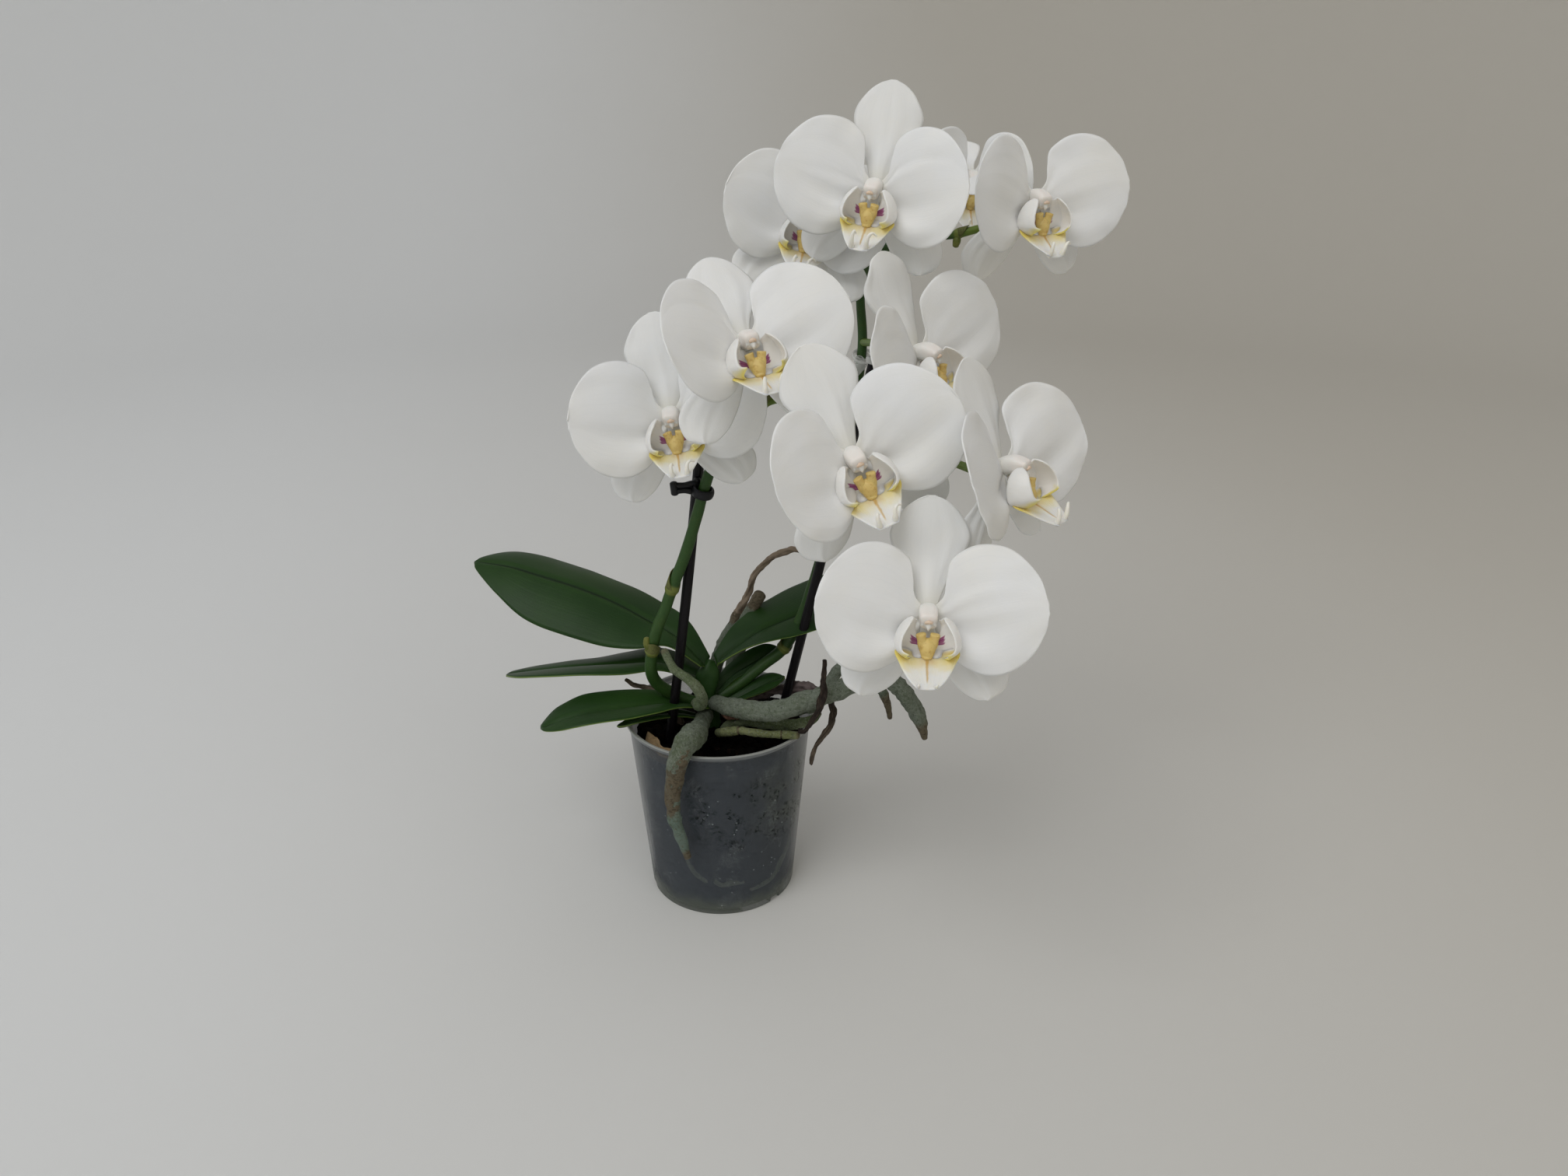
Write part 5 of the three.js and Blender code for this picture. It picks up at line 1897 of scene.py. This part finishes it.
@dataclass
class Root:
    """An aerial root, living or dried."""

    node: str
    points: Rows
    radii: Numbers
    kind: RootKind
    finish: Finish
    twist: float = 0.0

    FACE_LENGTH: ClassVar[float] = 0.55
    STEPS: ClassVar[tuple[int, int]] = (30, 260)

    def skin(self, share: Array, angle: Array, point: Array) -> Array:
        """Lumps and wrinkles; a dried root has ridges that wind along it."""
        seed = sum(map(ord, self.node))
        rough = self.kind.value[1]
        radius = along(self.radii, share)
        lumps = ripple(point, 7.5, seed) * rough * 1.3 + ripple(point, 2.6, seed + 1) * rough * 0.7
        wound = self.twist * radius * np.cos(3 * angle + 26 * share + ripple(point, 20, seed + 2))
        for at in self.finish.cracks if isinstance(self.finish, VelamenFinish) else ():
            wound = wound + radius * (0.15 * hump(share, at, 0.030) - 0.34 * hump(share, at, 0.008))
        return np.maximum(lumps * np.minimum(radius / 2, 1.4) + wound, -0.45 * radius)

    def make(self) -> None:
        """Models the root and hands it over."""
        slot = self.kind.value[0]
        name = f"{self.node}_skin"
        fewest, most = self.STEPS
        steps = int(min(max(line_length(self.points, 300) / self.FACE_LENGTH, fewest), most))
        made = tube(name, self.points, self.radii, self.finish.make(), 30, steps, self.skin, (0.5, 0.7))
        hand_over(made, slot, self.node)


ROOTS = [
    Root(
        "root_front",
        [[-6.5, -4, 92], [-8, -14, 92.5], [-8.6, -26, 95], [-10, -37, 99.2], [-12.6, -44, 99.2],
         [-15.6, -48.8, 94], [-17.8, -48, 84], [-19.2, -46.6, 70], [-18.4, -45, 59], [-16, -43.6, 48.5],
         [-14, -42.4, 38.8]],
        [3.6, 3.8, 4.6, 5.9, 5.3, 4.6, 4.1, 3.3, 2.8, 2.4, 1.8],
        RootKind.SILVER, VelamenFinish("velamen_front", greenness=0.55, peeled=(0.56, 0.74), brown_tip=0.985),
    ),
    Root(
        "root_right_thick",
        [[-2, -3, 98], [4, -12, 101], [13, -21, 103.8], [26.9, -28.5, 107.4], [41, -31, 114],
         [54, -30, 118.4], [66, -26.5, 122], [74, -23, 122.6], [82, -22, 117.5], [88.4, -22, 109],
         [92.8, -22, 100], [95.9, -22, 89.7]],
        [3.6, 4.2, 4.6, 4.7, 4.6, 4.4, 4.2, 4.1, 4, 3.9, 3.4, 1.2],
        RootKind.SILVER, VelamenFinish("velamen_thick", greenness=0.25, brown_tip=0.95),
    ),
    Root(
        "root_right_thin",
        [[17, 1, 80], [25, -4, 91], [36, -8.5, 96.6], [46.1, -11.6, 102], [51.8, -10.4, 110.5],
         [55.5, -9, 117.4], [63, -7, 121.5], [71.5, -5, 115.5], [76, -4, 106.5], [79.4, -4, 99.1],
         [81.2, -4, 90.3]],
        [2.5, 2.6, 2.7, 2.9, 3, 2.9, 2.8, 2.6, 2.3, 2, 1],
        RootKind.SILVER, VelamenFinish("velamen_thin", greenness=0.6, brown_tip=0.88),
    ),
    Root(
        "root_right_low",
        [[1, -7, 80], [4, -10, 89.5], [10.5, -14, 94.2], [19, -17.6, 95.6], [32.6, -21, 96],
         [43.4, -20, 98], [47, -18, 100.6]],
        [2.2, 2.2, 2.5, 2.6, 2.5, 2.2, 1.4],
        RootKind.GREEN, VelamenFinish("velamen_low", (0.15, 0.18, 0.10), (0.07, 0.10, 0.035), greenness=0.7),
    ),
    Root(
        "root_green_jointed",
        [[0, -14, 88], [2.7, -20, 91.6], [9.4, -24.6, 95], [20.1, -27.6, 95.4], [29.7, -28.5, 95.4],
         [36.8, -28.8, 95]],
        [1.8, 2.2, 1.9, 1.8, 1.8, 1.9],
        RootKind.GREEN,
        VelamenFinish(
            "velamen_jointed", (0.20, 0.215, 0.10), (0.10, 0.12, 0.04), greenness=0.5, cracks=(0.42, 0.80)
        ),
    ),
    Root(
        "root_curl",
        [[-11, -9.5, 101.5], [-9, -15, 102.6], [-6.4, -20, 107.5], [-7.6, -23.6, 115],
         [-12.6, -24.8, 121.6], [-18.6, -24.4, 127], [-22.6, -23.4, 135]],
        [2.2, 2.4, 2.6, 2.5, 2.2, 2, 1.7],
        RootKind.GREEN, VelamenFinish("velamen_curl", (0.17, 0.20, 0.12), (0.07, 0.11, 0.04), greenness=0.45),
    ),
    Root(
        "root_silver_up",
        [[-1, 13, 92], [5, 19, 104], [9, 24, 116], [13.5, 28.5, 129], [19.1, 30.5, 139.5]],
        [3.4, 3.6, 3.6, 3.4, 2.6],
        RootKind.SILVER, VelamenFinish("velamen_up", greenness=0.2, brown_tip=0.86),
    ),
    Root(
        "root_silver_arch",
        [[-7, 14, 92], [-3, 22, 104], [2, 30, 115], [7.4, 36, 126]],
        [3.4, 3.6, 3.4, 2.6],
        RootKind.SILVER, VelamenFinish("velamen_arch", greenness=0.2, brown_tip=0.9),
    ),
    Root(
        "root_dry_arch",
        [[7.6, 36.2, 126.6], [12.5, 37, 135], [16, 37.5, 146], [22.9, 37.5, 154.6],
         [31.2, 37, 159.4], [36.6, 36.5, 160.6], [44.8, 35.5, 158.6]],
        [2.2, 1.6, 1.4, 1.3, 1.4, 1.3, 0.9],
        RootKind.DRY, DryFinish("dry_arch", (0.045, 0.034, 0.026), (0.27, 0.21, 0.15), 0.75),
        0.22,
    ),
    Root(
        "root_dry_left",
        [[-17, 0, 80], [-21, 1, 91], [-27, 3, 98.5], [-33, 5.6, 101], [-40, 8, 101.2],
         [-45.5, 10, 103.4]],
        [1.5, 1.5, 1.5, 1.3, 1.1, 0.8],
        RootKind.DRY, DryFinish("dry_left", lightness=0.6),
        0.2,
    ),
    Root(
        "root_dry_right",
        [[37.9, -29.2, 97.6], [40.6, -34, 101], [45, -38.5, 111], [47.5, -39.4, 119.7],
         [48, -38.5, 127], [48.5, -35, 136]],
        [1, 1, 1.1, 1.6, 1.2, 0.8],
        RootKind.DRY, DryFinish("dry_right", (0.014, 0.009, 0.007), (0.09, 0.065, 0.045), 0.35),
        0.3,
    ),
    Root(
        "root_dry_hanging",
        [[51.2, -11.6, 109.2], [52.4, -19, 107.4], [53.2, -23, 104.6], [52.6, -24.5, 99.6],
         [48.4, -25.5, 92], [45, -26, 87], [43.4, -26, 78.4]],
        [1, 1.2, 1.4, 1.4, 1.2, 0.9, 0.8],
        RootKind.DRY, DryFinish("dry_hanging", lightness=0.35),
        0.3,
    ),
    Root(
        "root_dead_stub",
        [[0, -9.6, 99], [5, -15, 97.5], [10, -18.4, 98.4]],
        [1.4, 1.5, 0.9],
        RootKind.DRY, DryFinish("dry_stub", (0.05, 0.028, 0.02), (0.17, 0.08, 0.05), 0.4),
        0.2,
    ),
    Root(
        "stem_old_stump",
        [[10, 9, 90], [17, 12, 93.6], [25, 14, 95.4], [33.4, 13.5, 97.2], [41, 11, 99.2],
         [46, 7, 99.4]],
        [2.6, 2.8, 2.5, 2.8, 2.6, 1.8],
        RootKind.DRY, DryFinish("old_stump", (0.05, 0.036, 0.034), (0.19, 0.15, 0.145), 0.6),
        0.12,
    ),
]


@dataclass
class Sheath:
    """A dry papery curl that stands in the bark against the rim."""

    bark_top: float = 84.0
    pot_height: float = 92.7
    start: float = 214.0
    sweep: float = 26.0
    radius: float = 39.8

    def place(self, u: Array, v: Array) -> Array:
        """The curl, from its foot at v 0 to its torn top."""
        angle = np.radians(self.start + self.sweep * u)
        back = np.maximum(v - 0.5, 0)
        curl = self.radius + 0.9 * v - 6.5 * back**1.4 * (0.8 + 0.3 * np.sin(6 * u))
        sag = 3.2 * np.clip((u - 0.15) / 0.7, 0, 1) ** 1.4
        top = self.pot_height + 0.2 - sag + 1.4 * hump(u, 1.0, 0.14) + 0.35 * np.sin(17 * u)
        low = self.bark_top - 2.5
        height = low + (top - low) * v
        creases = 0.12 * np.sin(40 * u + 3 * v) + 0.35 * v * np.sin(12 * u)
        curl = curl + creases
        return np.stack([curl * np.cos(angle), curl * np.sin(angle), height], 1)

    def make(self) -> None:
        """Models the sheath and hands it over."""
        papery = DryFinish("papery", (0.045, 0.026, 0.012), (0.29, 0.20, 0.105), 0.85, darker_below=0.55)
        made = sheet("sheath_paper", 40, 26, self.place, 0.5, Skin(papery.make()), thin=0.3)
        hand_over(made, "root_dry", "sheath_dry")


# Pot and bark


@dataclass
class Pot:
    """A thin tapered cup with a rolled collar at the rim and drain notches at the foot."""

    height: float = 92.7
    rim: float = 45.0
    shoulder: float = 43.3
    foot: float = 35.1
    wall: float = 1.2
    floor: float = 1.6
    collar: float = 2.2
    drains: int = 3
    drain_turn: float = 78.4
    drain_width: float = 6.0
    drain_height: float = 2.4
    drain_depth: float = 9.0
    lip: float = 1.4
    rounding: float = 0.8
    sides: int = 144

    def outline(self) -> list[list[float]]:
        """Half section, from the axis under the floor round to the axis above it."""
        under = self.height - self.collar
        corners = [
            [0, 0.0],
            [self.foot - 6, 0.0],
            [self.foot, 0.0],
            [self.shoulder, under],
            [self.rim, under + 0.4],
            [self.rim, self.height],
            [self.rim - self.lip, self.height],
            [self.shoulder - self.wall, under - 1],
            [self.foot - self.wall, self.floor],
            [0, self.floor],
        ]
        return rounded(corners, self.rounding)

    def make(self) -> None:
        """Models the pot and hands it over."""
        made = turned("grow_pot", self.outline(), self.sides, PotFinish("milky_plastic").make())
        cutters = []
        for k in range(self.drains):
            clear_selection()
            bpy.ops.mesh.primitive_cube_add(size=1)
            cutter = bpy.context.object
            turn = Matrix.Rotation(math.radians(self.drain_turn + 360 * k / self.drains), 4, "Z")
            size = Matrix.Diagonal((self.drain_depth, self.drain_width, 2 * self.drain_height, 1))
            place = Matrix.Scale(MM, 4) @ turn @ Matrix.Translation((self.foot, 0, 0)) @ size
            cutter.data.transform(place)
            bevel = cutter.modifiers.new("Round", "BEVEL")
            bevel.width = self.rounding * MM
            bevel.segments = 3
            apply_modifiers(cutter)
            cutters.append(cutter)
        tool = join("drain_cutter", cutters)
        cut = made.modifiers.new("Drains", "BOOLEAN")
        cut.object = tool
        cut.solver = "EXACT"
        apply_modifiers(made)
        bpy.data.objects.remove(tool)
        smooth(made, 35)
        hand_over(made, "pot", "pot")


@dataclass
class BarkMix:
    """The bark mix that fills the pot, with loose chips on top and roots pressed to the wall."""

    pot: Pot
    top: float = 84.0
    relief: float = 1.0
    clear: float = 0.75
    chips: int = 210

    SIDES: ClassVar[int] = 200
    ROWS_UP: ClassVar[int] = 70
    RINGS_ON_TOP: ClassVar[int] = 30
    SMALLEST_CHIP: ClassVar[Numbers] = (1.6, 1.1, 0.5)
    LARGEST_CHIP: ClassVar[Numbers] = (4.2, 2.6, 1.3)
    CHIP_MARGIN: ClassVar[float] = 5.0

    # Roots at the wall: degrees round the pot and height.
    WALL_ROOTS: ClassVar[Sequence[Rows]] = [
        [(-6, 40), (-20.5, 26.3), (-35.4, 16.6), (-46, 12), (-63.5, 10.8)],
        [(-93.4, 18.1), (-88, 16.2), (-79, 16.8), (-70.2, 16.4)],
        [(-117, 31), (-111.4, 23.9), (-106.3, 20.3), (-100.4, 17.7)],
        [(20, 60), (38, 38), (55, 12)],
        [(96, 62), (118, 44), (150, 26), (170, 12)],
    ]
    WALL_ROOT_RADII: ClassVar[Rows] = [[1.1, 1.6, 1.6, 1.2], *[[1.1, 1.35, 1.35, 1.0]] * 4]
    WALL_ROOT_DEPTH: ClassVar[float] = 1.75

    def inner_radius(self, z: float) -> float:
        """The pot's inside at a height."""
        under = self.pot.height - self.pot.collar - 1
        share = (z - self.pot.floor) / (under - self.pot.floor)
        return self.pot.foot + (self.pot.shoulder - self.pot.foot) * share - self.pot.wall

    def surface(self, x: Array, y: Array) -> Array:
        """The uneven top of the fill."""
        waves = np.sin(x * 0.31 + y * 0.17) + np.sin(y * 0.37 - x * 0.11 + 1.3)
        fine = ripple(np.stack([x, y], 1), 6, 9)
        return self.top - 1.2 + self.relief * (0.6 * waves + 0.8 * fine)

    def make_fill(self, material: Material) -> MeshObject:
        """Models the fill: rough sides, rounded foot, uneven top."""
        heights = np.linspace(self.pot.floor + 0.4, self.top - 2.4, self.ROWS_UP)
        sides = [[self.inner_radius(z) - self.clear, z] for z in heights]
        inward = np.linspace(sides[-1][0] - 1, 0, self.RINGS_ON_TOP)
        tops = [[radius, self.top] for radius in inward]
        foot = sides[0]
        under = [[0, foot[1]], [foot[0] * 0.5, foot[1]], [foot[0] - 2.5, foot[1]]]
        made = turned("bark_fill", [*under, *sides, *tops], self.SIDES, material)
        rows = read_points(made) / MM
        radius = np.linalg.norm(rows[:, :2], axis=1)
        upper = rows[:, 2] > self.top - 0.5
        rows[upper, 2] = self.surface(rows[upper, 0], rows[upper, 1])
        wall = (~upper) & (rows[:, 2] > 4)
        dent = np.abs(ripple(rows[wall], 9, 4)) * 1.3 + np.abs(ripple(rows[wall], 3.4, 6)) * 0.7
        rows[wall, :2] *= (1 - dent / radius[wall])[:, None]
        write_points(made, rows * MM)
        return smooth(made, 60)

    def make_chips(self, materials: Sequence[Material]) -> MeshObject:
        """Scatters bark chips over the top, each its own broken shape."""
        draw = np.random.default_rng(20)
        parts = []
        for k in range(self.chips):
            reach = self.inner_radius(self.top) - self.CHIP_MARGIN
            radius = reach * math.sqrt(draw.uniform(0.0, 1))
            angle = draw.uniform(0, 2 * math.pi)
            x, y = radius * math.cos(angle), radius * math.sin(angle)
            z = float(self.surface(np.array([x]), np.array([y]))[0])
            clear_selection()
            bpy.ops.mesh.primitive_ico_sphere_add(subdivisions=2, radius=1)
            chip = bpy.context.object
            rows = read_points(chip)
            block = np.sign(rows) * np.abs(rows) ** 0.6
            block = block * (1 + 0.16 * ripple(rows, 1.2, 50 + k))[:, None]
            write_points(chip, block * draw.uniform(self.SMALLEST_CHIP, self.LARGEST_CHIP))
            spin = Matrix.Rotation(draw.uniform(0, 6.28), 4, "Z")
            turn = spin @ Matrix.Rotation(draw.normal() * 0.35, 4, "X")
            lift = z + draw.uniform(-0.4, 1.0)
            place = Matrix.Scale(MM, 4) @ Matrix.Translation((x, y, lift)) @ turn
            chip.data.transform(place)
            chip.data.materials.append(materials[k % len(materials)])
            parts.append(chip)
        return smooth(join("bark_chips", parts), 40)

    def make_wall_roots(self, material: Material) -> MeshObject:
        """Models the roots that show through the wall, where they run along the inside."""
        parts = []
        for run, radii in zip(self.WALL_ROOTS, self.WALL_ROOT_RADII, strict=True):
            rows = along(run, np.linspace(0, 1, 13))
            angle, z = np.radians(rows[:, 0]), rows[:, 1]
            radius = np.array([self.inner_radius(h) for h in z]) - self.WALL_ROOT_DEPTH
            line = np.stack([radius * np.cos(angle), radius * np.sin(angle), z], 1)
            parts.append(tube("wall_root", line.tolist(), radii, material, 14, 60))
        return join("roots_at_wall", parts)

    def make(self) -> None:
        """Models the mix and hands its pieces over."""
        bark = BarkFinish("bark_mix").make()
        hand_over(self.make_fill(bark), "bark", "bark")
        brown = BarkFinish("bark_chip_brown", (0.006, 0.0035, 0.0025), (0.030, 0.015, 0.009), size=260)
        black = BarkFinish("bark_chip_dark", (0.002, 0.0016, 0.0014), (0.012, 0.008, 0.006), size=260)
        light, dark = brown.make(), black.make()
        hand_over(self.make_chips([dark, dark, light]), "bark", "bark")
        green = VelamenFinish("wall_root", (0.16, 0.18, 0.12), (0.10, 0.12, 0.06)).make()
        hand_over(self.make_wall_roots(green), "root_green")


# Studio


@dataclass(frozen=True)
class Lamp:
    """A soft square light that looks at the plant."""

    name: str
    at: Numbers
    size: float
    power: float
    colour: Colour


LAMPS = [
    Lamp("window", (-1.1, -1.6, 2.5), 1.9, 38, (0.99, 0.995, 1.0)),
    Lamp("fill", (1.4, -1.9, 1.7), 1.7, 9, (1.0, 0.965, 0.91)),
]


@dataclass
class Studio:
    """Camera, sweep and light."""

    camera_at: Numbers = (0.0308, -0.4973, 0.3639)
    camera_tilt: float = 22.72
    focal_share: float = 1514 / 2016
    sensor: float = 36.0
    floor_radius: float = 1.5
    sweep: float = 1.0
    wall: float = 1.4
    sides: int = 96
    aim: Numbers = (0.03, 0, 0.2)
    room: Colour = (0.985, 0.985, 1.0)
    room_light: float = 0.42

    def make_camera(self) -> None:
        """Sets the camera where the photograph was taken from."""
        data = bpy.data.cameras.new("camera")
        data.sensor_width = self.sensor
        data.lens = self.sensor * self.focal_share
        data.clip_start = 0.01
        camera = bpy.data.objects.new("camera", data)
        camera.location = self.camera_at
        camera.rotation_euler = (math.radians(90 - self.camera_tilt), 0, 0)
        bpy.context.scene.collection.objects.link(camera)
        bpy.context.scene.camera = camera

    def make_sweep(self) -> None:
        """Models the floor, which turns up into a wall all round."""
        turn = np.linspace(0, math.pi / 2, 17)
        outline = [[radius, 0.0] for radius in np.linspace(0, self.floor_radius, 12)]
        outline += [
            [self.floor_radius + self.sweep * math.sin(a), self.sweep * (1 - math.cos(a))]
            for a in turn[1:]
        ]
        outline.append([self.floor_radius + self.sweep, self.sweep + self.wall])
        rows = np.array(outline) / MM
        floor = turned("studio_sweep", rows, self.sides, StudioFinish("sweep").make())
        smooth(floor)

    def make_light(self, lamp: Lamp) -> None:
        """Places a lamp and aims it at the plant."""
        data = bpy.data.lights.new(lamp.name, "AREA")
        data.size = lamp.size
        data.energy = lamp.power
        data.color = lamp.colour
        light = bpy.data.objects.new(lamp.name, data)
        light.location = lamp.at
        aim = Vector(self.aim) - Vector(lamp.at)
        light.rotation_euler = aim.to_track_quat("-Z", "Y").to_euler()
        bpy.context.scene.collection.objects.link(light)

    def make(self) -> None:
        """Sets up the studio."""
        self.make_camera()
        self.make_sweep()
        for lamp in LAMPS:
            self.make_light(lamp)
        world = bpy.data.worlds.new("room")
        world.use_nodes = True
        background = world.node_tree.nodes["Background"]
        background.inputs["Color"].default_value = (*self.room, 1)
        background.inputs["Strength"].default_value = self.room_light
        bpy.context.scene.world = world
        bpy.context.scene.view_settings.view_transform = "Standard"
        log.info("studio done")


def write_sizes() -> None:
    """Updates the view layer."""
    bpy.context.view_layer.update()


def main() -> None:
    """Builds every piece in order."""
    logging.basicConfig(level=logging.INFO, format="%(message)s")
    Studio().make()
    pot = Pot()
    pot.make()
    BarkMix(pot).make()
    Sheath().make()
    Crown().make()
    top = LeafFinish("leaf_top").make()
    under = LeafFinish(
        "leaf_under", (0.07, 0.11, 0.04), (0.10, 0.14, 0.06), (0.05, 0.08, 0.03), rough=0.45
    ).make()
    margin = StemFinish("leaf_margin", (0.14, 0.22, 0.04), (0.16, 0.24, 0.05), (0.2, 0.26, 0.08)).make()
    for leaf in LEAVES:
        leaf.make(Skin(top, under, margin))
    for root in ROOTS:
        root.make()
    rod = PlasticFinish(
        "stake_plastic", (0.0035, 0.0025, 0.0035), 0.34, scuff=(0.012, 0.010, 0.012), gleam=0.2
    ).make()
    for stake in STAKES:
        stake.make(rod)
    for stem in FLOWER_STEMS:
        stem.make()
    BlackClip().make()
    ClearClip().make()
    skins = BloomSkins()
    for bloom in BLOOMS:
        bloom.make(skins)
    write_sizes()


if __name__ == "__main__":
    main()
